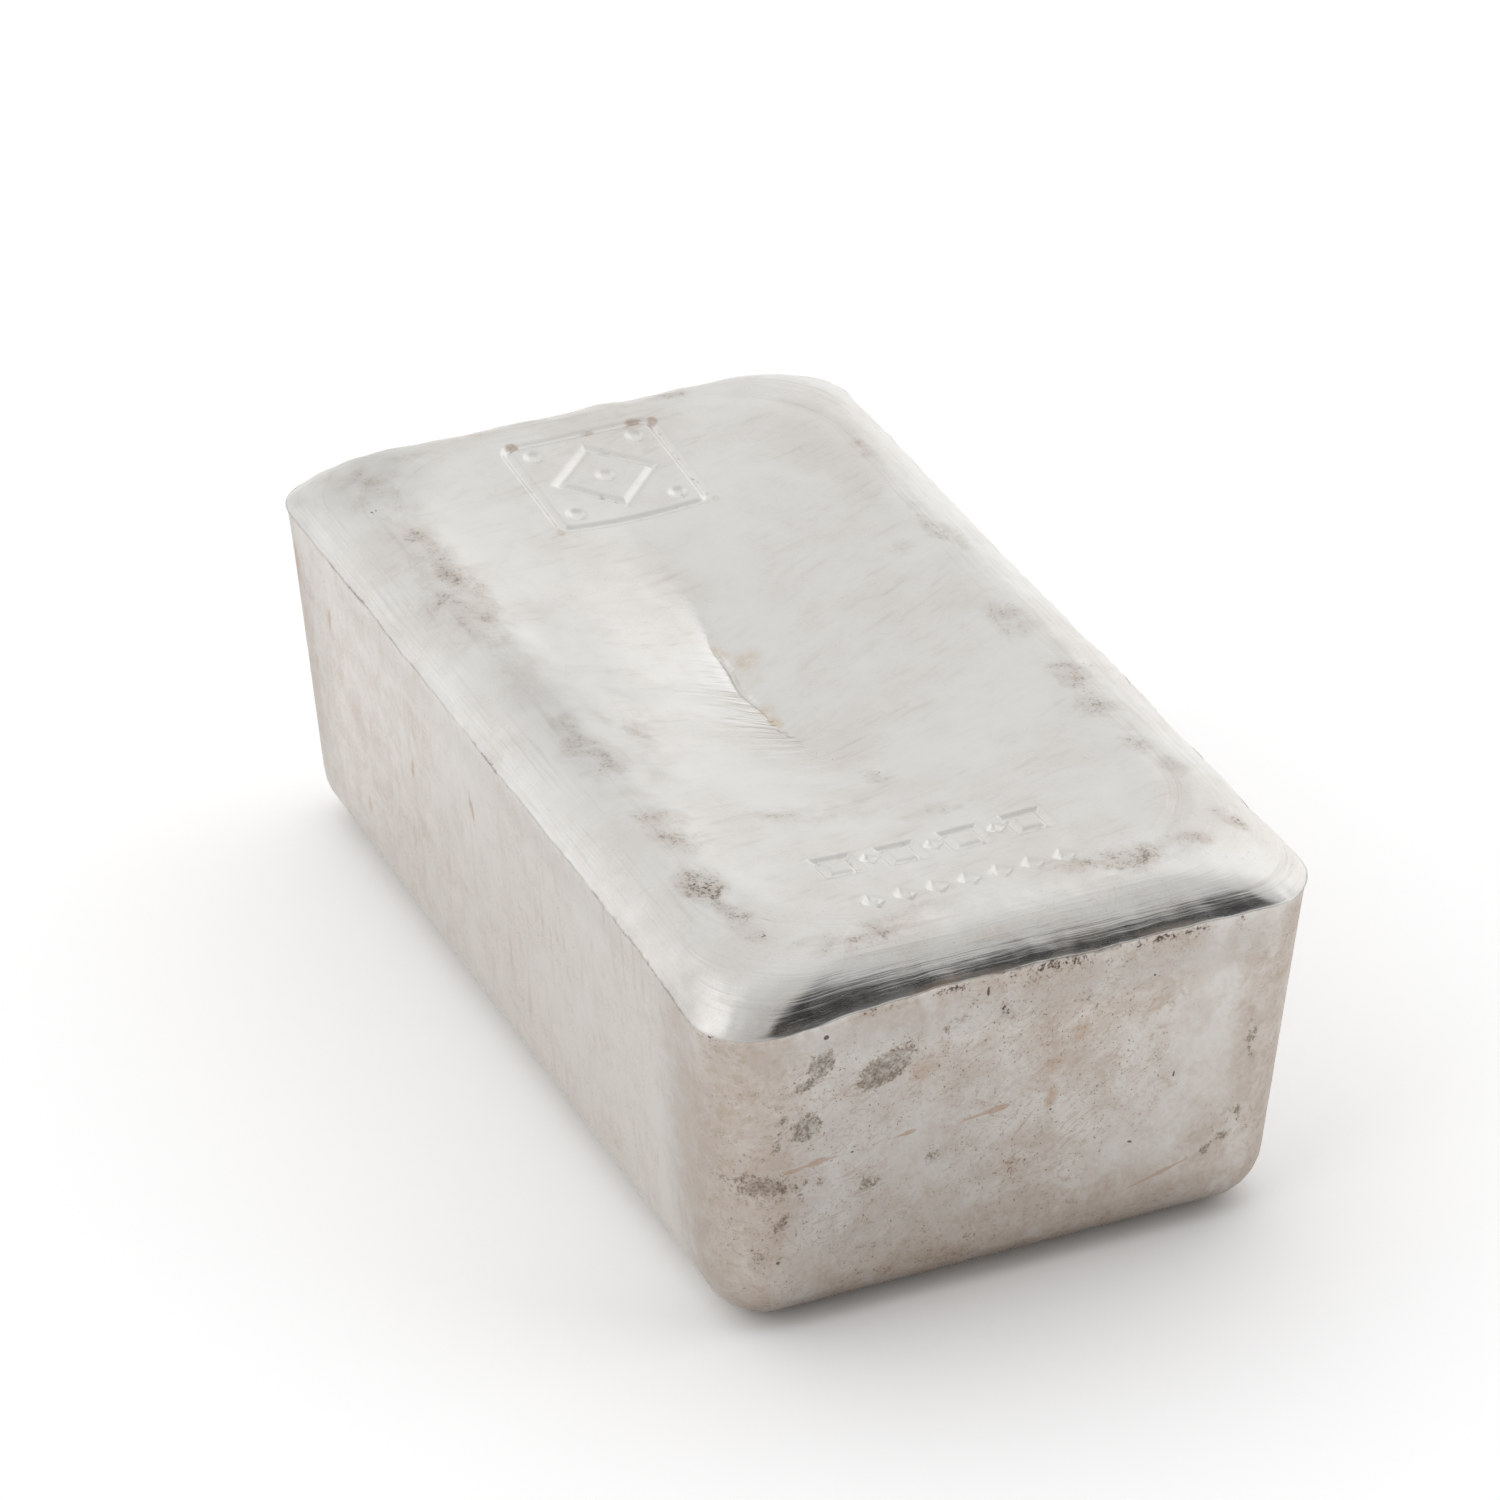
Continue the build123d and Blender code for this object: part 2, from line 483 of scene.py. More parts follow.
        (-25.2, 6.8, 0.5, 1.3, 0, 0.6), (5.4, 15.8, 0.3, 1.0, 8, 0.6), (-33.9, 14.5, 0.4, 0.7, 0, 0.7),
        (-20.0, 11.0, 0.4, 1.2, 6, 0.5), (14.0, 12.0, 0.3, 1.2, 0, 0.5), (-9.0, 8.0, 0.35, 1.1, 0, 0.5),
        (22.0, 17.0, 0.3, 1.0, 8, 0.5), (-36.2, 22.0, 0.8, 2.4, 0, 0.6), (28.0, 9.0, 0.3, 1.2, 0, 0.5),
    ),
    # On the left wall the broad tint over its far half is painted shade; the low band makes the foot darker
    *stains_of(
        StainKind.PATINA, Side.LEFT,
        (36.0, 13.0, 4.0, 14.0, 0, 0.8), (-37.0, 14.0, 3.4, 12.0, 0, 0.7), (0.0, 3.4, 40.0, 2.6, 0, 0.12),
        (-26.0, 14.0, 22.0, 14.0, 0, 0.28),
    ),
    *stains_of(
        StainKind.BLOTCH, Side.FAR_END,
        (6.0, 17.0, 1.5, 1.1, 20, 0.9), (-9.0, 11.0, 1.8, 0.9, -15, 0.7), (13.0, 8.0, 1.0, 1.3, 0, 0.6),
        (-2.0, 21.0, 0.9, 0.5, 0, 0.8),
    ),
    *stains_of(
        StainKind.RUST, Side.FAR_END,
        (10.0, 14.0, 1.8, 0.32, -14), (-4.0, 8.0, 2.2, 0.3, 12), (-12.0, 18.0, 0.9, 1.0, 0, 0.6),
        (2.0, 13.0, 0.4, 1.3, 10, 0.6),
    ),
    *stains_of(
        StainKind.RUST, Side.RIGHT,
        (-24.0, 16.0, 0.35, 1.4, 8, 0.7), (-6.0, 11.0, 0.4, 1.2, -6, 0.7), (9.0, 19.0, 0.35, 1.3, 0, 0.6),
        (21.0, 12.0, 0.3, 1.4, 6, 0.7), (30.0, 18.0, 0.4, 1.0, 0, 0.6), (-33.0, 9.0, 0.4, 1.1, 0, 0.6),
    ),
    # The low band makes the wall darker towards the bottom
    *stains_of(
        StainKind.PATINA, Side.RIGHT,
        (37.0, 13.0, 2.2, 12.0, 0, 0.7), (-37.0, 13.0, 2.2, 12.0, 0, 0.7), (0.0, 3.4, 40.0, 2.6, 0, 0.6),
        (-14.0, 14.0, 8.0, 5.0, 0, 0.5),
    ),
    # The low band makes the end darker towards the bottom
    *stains_of(
        StainKind.PATINA, Side.FAR_END,
        (-17.4, 14.0, 2.0, 12.0, 0, 0.8), (17.4, 14.0, 2.0, 12.0, 0, 0.8), (0.0, 4.0, 22.0, 3.4, 0, 0.8),
        (4.0, 16.0, 5.0, 4.0, 0, 0.6),
    ),
]


@dataclass(frozen=True)
class Stamp:
    """A plain punched pattern in the hollow's floor, inside a rectangle."""

    low: tuple[float, float]
    high: tuple[float, float]
    depth: float = 0.3
    line: float = 0.66
    slope: float = 0.28

    def holds(self, x: np.ndarray, y: np.ndarray) -> np.ndarray:
        """Say which points lie in the rectangle."""
        return (x > self.low[0]) & (x < self.high[0]) & (y > self.low[1]) & (y < self.high[1])

    def distance(self, x: np.ndarray, y: np.ndarray) -> np.ndarray:
        """Give the distance to the pattern, below 0 inside it; a bare stamp has none."""
        return np.full_like(x, self.slope)

    def sunk(self, x: np.ndarray, y: np.ndarray) -> np.ndarray:
        """Give the share of the stamp's depth at each point."""
        return 1 - smooth(self.distance(x, y), -self.slope, self.slope / 2)

    def lozenge(self, x: np.ndarray, y: np.ndarray, reach_x: float, reach_y: float) -> np.ndarray:
        """Give the distance to a lozenge round the origin."""
        edge = np.abs(x) * reach_y + np.abs(y) * reach_x - reach_x * reach_y
        return edge / math.hypot(reach_x, reach_y)


@dataclass(frozen=True)
class FrameStamp(Stamp):
    """A square frame that holds a lozenge and dots."""

    corner: float = 1.2
    margin: float = 0.75
    lozenge_share: float = 0.62
    dot_radius: float = 0.7
    dot_share: float = 0.66

    def distance(self, x: np.ndarray, y: np.ndarray) -> np.ndarray:
        """Give the distance to the frame, the lozenge and the dots.

        Args:
            x: places along the bar.
            y: places across it.

        Returns:
            A distance for each point, below 0 inside.
        """
        half = [(high - low) / 2 - self.margin for low, high in zip(self.low, self.high)]
        u = x - (self.low[0] + self.high[0]) / 2
        v = y - (self.low[1] + self.high[1]) / 2
        over = [np.abs(part) - reach + self.corner for part, reach in zip((u, v), half)]
        square = np.hypot(*(np.maximum(part, 0) for part in over)) + np.minimum(np.maximum(*over), 0) - self.corner
        border = np.abs(square + self.line / 2) - self.line / 2
        reach = [self.lozenge_share * part for part in half]
        lozenge = np.abs(self.lozenge(u, v, *reach)) - self.line / 2
        dots = np.hypot(*(np.abs(part) - self.dot_share * reach for part, reach in zip((u, v), half)))
        return np.minimum.reduce((border, lozenge, dots - self.dot_radius, np.hypot(u, v) - self.dot_radius))


@dataclass(frozen=True)
class BorderStamp(Stamp):
    """A row of open squares and lozenges, with a row of small lozenges beside it."""

    square_row: float = 27.7
    square_reach: float = 1.15
    square_pitch: float = 2.35
    between_reach: float = 0.7
    lozenge_row: float = 33.3
    lozenge_reach: float = 0.9
    lozenge_pitch: float = 2.35
    count: int = 7

    def distance(self, x: np.ndarray, y: np.ndarray) -> np.ndarray:
        """Give the distance to the nearest square or lozenge.

        Args:
            x: places along the bar.
            y: places across it.

        Returns:
            A distance for each point, below 0 inside.
        """
        middle = (self.low[1] + self.high[1]) / 2
        parts = []
        for number in range(self.count):
            place = number - (self.count - 1) / 2
            u, v = x - self.square_row, y - middle - place * self.square_pitch
            if number % 2:
                parts.append(self.lozenge(u, v, self.between_reach, self.between_reach))
            else:
                edge = np.maximum(np.abs(u), np.abs(v)) - self.square_reach
                parts.append(np.abs(edge) - self.line / 2)
            v = y - middle - place * self.lozenge_pitch
            parts.append(self.lozenge(x - self.lozenge_row, v, self.lozenge_reach, self.lozenge_reach))
        return np.minimum.reduce(parts)


@dataclass(frozen=True)
class Dent:
    """A small knock in the skin."""

    place: tuple[float, float, float]
    radius: float
    depth: float

    def sink(self, points: np.ndarray) -> np.ndarray:
        """Give how deep the knock is at each point."""
        return self.depth * bell(np.linalg.norm(points - np.array(self.place), axis=1), self.radius)


DENTS = [
    Dent((2.0, -22.4, 28.0), 1.1, 0.30), Dent((11.0, 19.4, 29.0), 0.9, 0.22), Dent((30.0, 21.6, 28.2), 2.6, 0.20),
    Dent((39.0, 8.0, 28.2), 3.0, 0.16), Dent((39.6, -4.0, 28.0), 4.0, 0.14), Dent((-20.0, -22.0, 28.0), 3.0, 0.14),
    Dent((-39.6, 6.0, 28.0), 2.4, 0.2), Dent((-39.8, -8.0, 28.0), 2.0, 0.16), Dent((22.0, 22.0, 28.0), 2.0, 0.18),
]


@dataclass
class IngotForm:
    """The bar's shape: a drafted wall, a rolled rim and a hollow with a keeled valley."""

    mouth_length: float = 81.3
    mouth_width: float = 45.0
    wall_height: float = 25.95
    wall_draft_degrees: float = 4.1
    edge_radius: float = 4.6
    rim_height: float = 3.2
    rim_width: float = 4.5
    rim_seam_step: float = 0.1
    rim_crest_corner_radius: float = 10.7
    rim_fullness: float = 1.8
    hollow_length: float = 71.7
    hollow_width: float = 35.4
    pan_depth: float = 0.7
    valley_depth: float = 4.5
    valley_length: float = 17.6
    keel_offset: float = 1.3
    keel_sharp_length: float = 7.0
    keel_sharp_middle: float = -2.5
    # Softness of the keel past its sharp length, and the shares of that length between which it sets in
    keel_softness: float = 0.1
    keel_soft_shares: tuple[float, float] = (0.6, 1.8)
    # Height, length and phase of the waves that the keel wanders in
    keel_waves: tuple = ((0.16, 2.3, 0.0), (0.1, 0.9, 1.0))
    valley_flank_power: float = 1.4
    pan_power: float = 4.0
    pan_roundness: float = 0.004
    pan_edge_width: float = 4.0
    # Depth of the groove below the rim, and its steps as a height from the seam and a share of that depth
    seam_groove: float = 0.035
    seam_steps: tuple = ((-0.25, 0.2), (-0.1, 0.75), (-0.02, 1.0))
    wall_gap: float = 0.5
    rim_start_share: float = 0.2
    rim_first_step_share: float = 0.012
    least_radius: float = 0.4
    # Distances from the keel, and from the bar's middle, over which the grid is drawn to the keel
    grid_pull_width: tuple[float, float] = (1.0, 8.0)
    grid_pull_length: tuple[float, float] = (22.0, 30.0)
    side_steps: int = 176
    end_steps: int = 88
    corner_steps: int = 28
    foot_rings: int = 9
    wall_rings: int = 27
    rim_rings: int = 24
    base_inset: float = 3.0

    @property
    def top_height(self) -> float:
        """Give the height of the rim's crest."""
        return self.wall_height + self.rim_height

    def outline(self, half_length: float, half_width: float, radius: float) -> np.ndarray:
        """Place the points of a rounded rectangle, the same number for every size.

        Args:
            half_length: half its length.
            half_width: half its width.
            radius: radius of its corners.

        Returns:
            Its points, from the far left corner on, counter-clockwise from above.
        """
        along = np.arange(self.side_steps) / self.side_steps * 2 - 1
        across = np.arange(self.end_steps) / self.end_steps * 2 - 1
        turn = np.arange(self.corner_steps) / self.corner_steps * math.pi / 2
        long_half, wide_half = half_length - radius, half_width - radius
        runs = []
        sides = ((along, long_half, half_width), (across, wide_half, half_length))
        for quarter, (run, reach, side) in enumerate(sides * 2):
            heading = quarter * math.pi / 2
            forth = np.array((math.cos(heading), math.sin(heading)))
            out = np.array((math.sin(heading), -math.cos(heading)))
            runs.append(np.outer(run * reach, forth) + side * out)
            middle = reach * forth + (side - radius) * out
            arc = np.outer(np.cos(turn), out) + np.outer(np.sin(turn), forth)
            runs.append(middle + radius * arc)
        return np.concatenate(runs)

    def ring(self, inset: float, height: float, radius: float) -> np.ndarray:
        """Place one ring of the bar's skin, drawn in from the mouth of the mould."""
        flat = self.outline(self.mouth_length / 2 - inset, self.mouth_width / 2 - inset, radius)
        return np.column_stack((flat, np.full(len(flat), height)))

    def rings(self) -> list[np.ndarray]:
        """Place the rings of the skin.

        Returns:
            The rings, from the flat of the foot up to the crest of the rim.
        """
        draft = math.radians(self.wall_draft_degrees)
        foot_inset = self.wall_height * math.tan(draft)
        arc_inset = foot_inset + self.edge_radius * (1 - math.sin(draft)) / math.cos(draft)
        rings = [self.ring(arc_inset + self.base_inset, 0.0, self.least_radius)]
        for angle in np.linspace(-math.pi / 2, -draft, self.foot_rings):
            reach = self.edge_radius * math.cos(angle)
            height = self.edge_radius * (1 + math.sin(angle))
            rings.append(self.ring(arc_inset - reach, height, max(reach, self.least_radius)))
        for height in np.linspace(height, self.wall_height - self.wall_gap, self.wall_rings)[1:]:
            rings.append(self.ring((self.wall_height - height) * math.tan(draft), height, self.edge_radius))
        for rise, share in self.seam_steps:
            rings.append(self.ring(self.seam_groove * share, self.wall_height + rise, self.edge_radius))
        first = self.rim_start_share
        first_in, first_rise = self.rim_section(first)
        for share in (first, first + self.rim_first_step_share, *np.linspace(first, 1, self.rim_rings)[1:]):
            draw_in, rise = self.rim_section(share)
            draw_in, rise = (draw_in - first_in) / (1 - first_in), (rise - first_rise) / (1 - first_rise)
            inset = -self.rim_seam_step + (self.rim_width + self.rim_seam_step) * draw_in
            start = self.edge_radius + self.rim_seam_step
            radius = start + (self.rim_crest_corner_radius - start) * draw_in
            rings.append(self.ring(inset, self.wall_height + self.rim_height * rise, radius))
        return rings

    def rim_section(self, share: float) -> tuple[float, float]:
        """Give the shape of the rim's section.

        Args:
            share: a share of the section's quarter turn.

        Returns:
            The shares by which the rim is drawn in and has risen there.
        """
        angle = share * math.pi / 2
        power = 2 / self.rim_fullness
        return 1 - max(math.cos(angle), 0) ** power, math.sin(angle) ** power

    def hollow_grid(self, crest: np.ndarray) -> np.ndarray:
        """Spread a grid over the hollow, with its border on the crest's ring and one row on the keel.

        Args:
            crest: points of the crest's ring.

        Returns:
            Rows of points across the bar, each running along it.
        """
        along, across = self.side_steps + self.corner_steps, self.end_steps + self.corner_steps
        border = np.roll(crest, self.corner_steps // 2, axis=0)
        near = border[: along + 1]
        right = border[along : along + across + 1]
        far = border[along + across : 2 * along + across + 1][::-1]
        left = np.concatenate((border[2 * along + across :], border[:1]))[::-1]
        u = np.linspace(0, 1, along + 1)[None, :, None]
        v = np.linspace(0, 1, across + 1)[:, None, None]
        sides = (1 - v) * near[None] + v * far[None] + (1 - u) * left[:, None] + u * right[:, None]
        corners = (1 - u) * (1 - v) * near[0] + u * (1 - v) * near[-1] + (1 - u) * v * far[0] + u * v * far[-1]
        grid = sides - corners
        keel = self.keel(grid[..., 0])
        row = int(np.argmin(np.abs(grid[:, along // 2, 1] - keel[:, along // 2])))
        shift = (keel - grid[row, :, 1])[row]
        reach = np.abs(grid[..., 1] - grid[row, :, 1])
        pull = 1 - smooth(reach, *self.grid_pull_width)
        grid[..., 1] += shift * pull * (1 - smooth(np.abs(grid[..., 0]), *self.grid_pull_length))
        return grid

    def keel(self, x: np.ndarray) -> np.ndarray:
        """Give the keel's place across the bar, which wanders a little along it."""
        waves = (height * np.sin(x / length + phase) for height, length, phase in self.keel_waves)
        return sum(waves, -self.keel_offset)

    def hollow_height(self, x: np.ndarray, y: np.ndarray) -> np.ndarray:
        """Give the height of the hollow's floor, without its fine relief.

        Args:
            x: places along the bar.
            y: places across it.

        Returns:
            A height for each point.
        """
        flank = y - self.keel(x)
        reach = self.hollow_width / 2 + np.sign(flank) * self.keel_offset
        flank = np.abs(flank) / reach
        station = np.abs(x) / (self.hollow_length / 2)
        pan = self.pan_depth * (1 - station ** self.pan_power - flank ** self.pan_power)
        edge = smooth(self.depth_inside_crest(x, y), 0, self.pan_edge_width)
        pan = 0.5 * (pan + np.sqrt(pan * pan + self.pan_roundness)) * edge
        past = np.abs(x - self.keel_sharp_middle) / self.keel_sharp_length
        flank = np.hypot(flank, self.keel_softness * smooth(past, *self.keel_soft_shares))
        along = bell(x, self.valley_length)
        valley = self.valley_depth * along * np.clip(1 - flank, 0, 1) ** self.valley_flank_power
        return self.top_height - pan - valley

    def depth_inside_crest(self, x: np.ndarray, y: np.ndarray) -> np.ndarray:
        """Give how far points of the top lie inside the crest of the rim.

        Args:
            x: places along the bar.
            y: places across it.

        Returns:
            A distance for each point.
        """
        radius = self.rim_crest_corner_radius
        over = [
            np.abs(part) - (size / 2 - self.rim_width - radius)
            for part, size in ((x, self.mouth_length), (y, self.mouth_width))
        ]
        outer = np.hypot(*(np.maximum(part, 0) for part in over))
        return radius - outer - np.minimum(np.maximum(*over), 0)


@dataclass(frozen=True)
class SkinSignals:
    """What the silver's shader works from, over the whole skin."""

    board: Board
    place: bpy.types.NodeSocket
    noises: dict[str, Signal]
    masks: dict[str, Signal]
    stains: dict[StainKind, Signal]

    def noise(self, *names: str) -> list[Signal]:
        """Give some of the noises, by name."""
        return [self.noises[name] for name in names]


@dataclass(frozen=True)
class SilverFinish:
    """Tarnished cast silver: its tones, with some painted shade and highlight, how rough it is and the dirt that
    lies on it.
    """

    bright: tuple = colour_of(240, 239, 236)
    warm: tuple = colour_of(226, 218, 209)
    aged: tuple = colour_of(206, 201, 195)
    beige: tuple = colour_of(188, 173, 161)
    # Grey of the painted shade on the walls, and of the greyer patches on the top
    shade_and_tarnish_grey: tuple = colour_of(146, 142, 138)
    haze: tuple = colour_of(176, 160, 145)
    grime: tuple = colour_of(112, 96, 82)
    film: tuple = colour_of(166, 153, 138)
    speck: tuple = colour_of(92, 68, 50)
    rust: tuple = colour_of(186, 161, 142)
    soil: tuple = colour_of(172, 149, 125)
    # Bright silver for the painted highlight beside the keel, and for the struck metal in the stamps, partly
    # painted highlight too
    fresh_and_highlight: tuple = colour_of(249, 248, 245)
    gold: tuple = colour_of(214, 184, 140)
    # Roughness of polished and of satin metal, and how far tint, dirt and the rim change it
    polish: float = 0.28
    satin: float = 0.36
    tint_roughness: float = 0.1
    dirt_roughness: float = 0.2
    rim_roughness: float = 0.08
    near_rim_shine: float = 0.18
    # How much less metallic tint and dirt make the skin
    tint_veil: float = 0.1
    dirt_veil: float = 0.5
    # Metres along the bar over which the near end, and the shine of the near rim, set in
    end_band: tuple[float, float] = (0.035, 0.0385)
    shine_band: tuple[float, float] = (0.033, 0.038)
    # Share of the near end's dirt that the other walls have
    other_walls_share: float = 0.25
    # Turns of the brushed lines' noise, to a metre along the rim and to a millimetre across it
    brush_along: float = 90.0
    brush_across: float = 2.6
    # How far each layer covers what lies under it
    warm_cover: float = 0.5
    aged_cover: float = 0.72
    brushed_cover: float = 0.22
    stamp_cover: float = 0.6
    patina_and_shade_cover: float = 0.8
    gold_cover: float = 0.85
    smudge_cover: float = 0.42
    film_cover: float = 0.7
    grime_cover: float = 0.72
    speck_cover: float = 0.75
    # Heights of the finest relief, in metres
    grain_height: float = 1.5e-6
    stroke_height: float = 3e-6
    broad_height: float = 26e-6
    brushed_height: float = 46e-6
    wrinkle_height: float = 260e-6

    def material(self) -> bpy.types.Material:
        """Make the silver's material.

        Returns:
            The material.
        """
        material = bpy.data.materials.new("tarnished_silver")
        material.use_nodes = True
        board = Board(material.node_tree)
        skin = self.signals(board)
        colour, dirt, tint = self.colour(skin)
        masks = skin.masks
        satin = (self.satin - self.polish) * skin.noises["drift"].step(0.3, 0.7).top(masks["wall"])
        roughness = self.polish + satin + self.tint_roughness * tint + self.dirt_roughness * dirt
        inputs = {
            "Base Color": colour,
            "Roughness": roughness + self.rim_roughness * masks["rim"] - self.near_rim_shine * masks["shine"],
            "Metallic": 1 - self.tint_veil * tint - self.dirt_veil * dirt,
            "Normal": self.relief(skin),
        }
        shader = board.add("ShaderNodeBsdfPrincipled", None, inputs)
        board.add("ShaderNodeOutputMaterial", None, {"Surface": shader.outputs[0]})
        return material

    def signals(self, board: Board) -> SkinSignals:
        """Gather the noises, masks and stains that the layers are made from.

        Args:
            board: the tree the nodes go on.

        Returns:
            What the shader works from.
        """
        place = board.add("ShaderNodeTexCoord").outputs["Object"]
        x, y, _ = board.parts(place)
        # Masks that the mesh keeps; one of them is the painted highlight beside the keel
        names = ("rim", "seam", "crease", "ridge_highlight", "stamp", "wall", "profile")
        masks = {name: board.attribute(name) for name in names}
        others = self.other_walls_share
        masks["end"] = masks["wall"] * (others + (1 - others) * x.step(*self.end_band))
        masks["shine"] = masks["rim"] * x.step(*self.shine_band)
        over_rim = {0: x * self.brush_along, 1: y * self.brush_along, 2: masks["profile"] * self.brush_across}
        path = board.add("ShaderNodeCombineXYZ", None, over_rim).outputs[0]
        noises = {
            "dust": board.noise(place, 5200.0, 2.0, 0.6),
            "stroke": board.noise(board.stretched(place, (1, 6, 6), (0, 0, 12)), 1500.0, 3.0, 0.55),
            "grain": board.noise(place, 2300.0, 3.0, 0.6),
            "fleck": board.noise(place, 1300.0, 4.0, 0.7),
            "fibre": board.noise(place, 800.0, 5.0, 0.7, 2.5),
            "hair": board.noise(board.stretched(place, (1.4, 2.4, 1), (25, 0, 8)), 800.0, 2.0, 0.5, 1.2),
            "drift": board.noise(place, 330.0, 4.0, 0.62, 0.7),
            "mist": board.noise(place, 110.0, 3.0, 0.62, 0.4),
            "brushed": board.noise(path, 1.0, 4.0, 0.6),
            "wrinkle": board.noise(board.stretched(place, (1, 7, 7)), 1000.0, 3.0, 0.6),
            "broad": board.noise(place, 420.0, 3.0),
        }
        stains = {kind: board.attribute(kind.value) for kind in StainKind}
        return SkinSignals(board, place, noises, masks, stains)

    def colour(self, skin: SkinSignals) -> tuple[bpy.types.NodeSocket, Signal, Signal]:
        """Lay the tints and the dirt over the metal's colour.

        Args:
            skin: what the shader works from.

        Returns:
            The colour, how dirty the skin is and how strongly it is tinted.
        """
        fine = {kind: skin.stains[kind] for kind in (StainKind.RUST, StainKind.SPECK)}
        fray = (skin.noises["fleck"] - 0.5) * 0.9
        for mark in FINE_MARKS:
            fine[mark.kind] = fine[mark.kind].top(mark.field(skin.board, skin.place, fray))
        colour, tint = self.tinted(skin, self.metal(skin), fine[StainKind.RUST])
        colour, dirt, smudge = self.soiled(skin, colour, fine[StainKind.SPECK])
        return colour, dirt, tint.top(smudge)

    def metal(self, skin: SkinSignals) -> bpy.types.NodeSocket:
        """Give the metal's own colour.

        Args:
            skin: what the shader works from.

        Returns:
            The colour, with wisps, threads and grey painted shade, brighter in the struck stamps, partly as painted
            highlight, and with a painted highlight on the left of the keel.
        """
        board, masks = skin.board, skin.masks
        wall, rim = masks["wall"], masks["rim"]
        fibre, hair, stroke, brushed = skin.noise("fibre", "hair", "stroke", "brushed")
        drift, mist = skin.noise("drift", "mist")
        colour = board.blend(mist.step(0.36, 0.74) * self.warm_cover, self.bright, self.warm)
        colour = board.blend(wall * self.aged_cover, colour, self.aged)
        wisp = stroke.step(0.5, 0.84) * (0.08 + 0.26 * mist.step(0.42, 0.66) + 0.14 * wall) * (1 - rim)
        colour = board.blend(wisp, colour, self.haze)
        colour = board.blend(brushed.step(0.5, 0.78) * rim * self.brushed_cover, colour, self.haze)
        thread = fibre.band(0.455, 0.5, 0.545) * (0.05 + 0.12 * wall) * drift.step(0.34, 0.6)
        colour = board.blend(thread, colour, self.beige)
        strand = hair.band(0.43, 0.46, 0.49) * (0.06 + 0.34 * masks["end"]) * mist.step(0.34, 0.56)
        colour = board.blend(strand, colour, self.soil)
        # Grey painted shade on the walls, and greyer patches on the top
        colour = board.blend(skin.stains[StainKind.TARNISH] * (0.2 + 0.34 * drift), colour, self.shade_and_tarnish_grey)
        # Painted highlight beside the keel; the stamps are brighter as struck metal and partly as painted highlight
        return board.blend(masks["ridge_highlight"].top(masks["stamp"] * self.stamp_cover), colour, self.fresh_and_highlight)

    def tinted(self, skin: SkinSignals, colour: bpy.types.NodeSocket,
               rust: Signal) -> tuple[bpy.types.NodeSocket, Signal]:
        """Lay the beige tint, partly the metal's own and partly painted shade, the rust and the golden tints over a
        colour.

        Args:
            skin: what the shader works from.
            colour: the metal's colour.
            rust: where the rust is, before its edge is frayed.

        Returns:
            The new colour, and how strongly the skin is tinted.
        """
        board, wall = skin.board, skin.masks["wall"]
        grain, fleck, fibre, drift = skin.noise("grain", "fleck", "fibre", "drift")
        # The beige tint is partly painted shade, on the near end, the feet and the far half of the left wall
        patina = skin.stains[StainKind.PATINA]
        tint = patina * 0.7 + (drift - 0.5) * (0.4 + wall * 0.6) + (fibre - 0.5) * (0.3 + wall * 0.5)
        tint = (tint + wall * 0.1).step(0.05, 1.0)
        colour = board.blend(tint * self.patina_and_shade_cover, colour, self.beige)
        rust = (rust + (grain - 0.5) * 0.4 + (fibre - 0.5) * 0.3).step(0.3, 0.75)
        colour = board.blend(rust * (0.4 + 0.6 * fleck), colour, self.rust)
        mottle = (fleck * 0.6 + grain * 0.4).step(0.47, 0.6) * skin.masks["end"]
        colour = board.blend(mottle * (0.04 + 0.32 * patina), colour, self.soil)
        gold = (skin.stains[StainKind.GOLD] * (fleck - 0.1)).step(0.05, 0.9)
        return board.blend(gold * self.gold_cover, colour, self.gold), tint.top(rust)

    def soiled(self, skin: SkinSignals, colour: bpy.types.NodeSocket,
               speck: Signal) -> tuple[bpy.types.NodeSocket, Signal, Signal]:
        """Lay the smudges, the blotches and the dots of dirt over a colour.

        Args:
            skin: what the shader works from.
            colour: the tinted metal's colour.
            speck: where the darkest dots are, before they are broken up.

        Returns:
            The new colour, how dirty the skin is and how far it is smudged.
        """
        board = skin.board
        dust, grain, fleck, fibre = skin.noise("dust", "grain", "fleck", "fibre")
        drift, mist = skin.noise("drift", "mist")
        grime = skin.stains[StainKind.GRIME]
        # The grime stains also carry painted shade along the near end's foot and over its face
        smudge = (grime * 1.2 + (drift - 0.5) * 1.8 + (fibre - 0.5) * 0.5).step(0.1, 1.2) * grime.step(0.02, 0.3)
        colour = board.blend(smudge * self.smudge_cover, colour, self.soil)
        edge = skin.stains[StainKind.BLOTCH] + (drift - 0.5) * 0.5 + (fleck - 0.5) * 1.1 + (dust - 0.5) * 0.4
        blotch = edge.step(0.38, 0.66)
        film = blotch * (fleck * 0.6 + drift * 0.4).step(0.36, 0.6)
        colour = board.blend(film * self.film_cover, colour, self.film)
        line = skin.masks["seam"] * (0.2 + 0.45 * mist.step(0.42, 0.6))
        pepper = self.pepper(skin, smudge, line)
        colour = board.blend(pepper * self.grime_cover, colour, self.grime)
        speck = (speck + (grain - 0.5) * 0.8 + (dust - 0.5) * 1.5).step(0.48, 0.72)
        speck = speck.top((line * 0.7 + (dust - 0.5) * 1.6).step(0.58, 0.72))
        colour = board.blend(speck * self.speck_cover, colour, self.speck)
        return colour, pepper.top(speck).top(blotch * 0.5), smudge

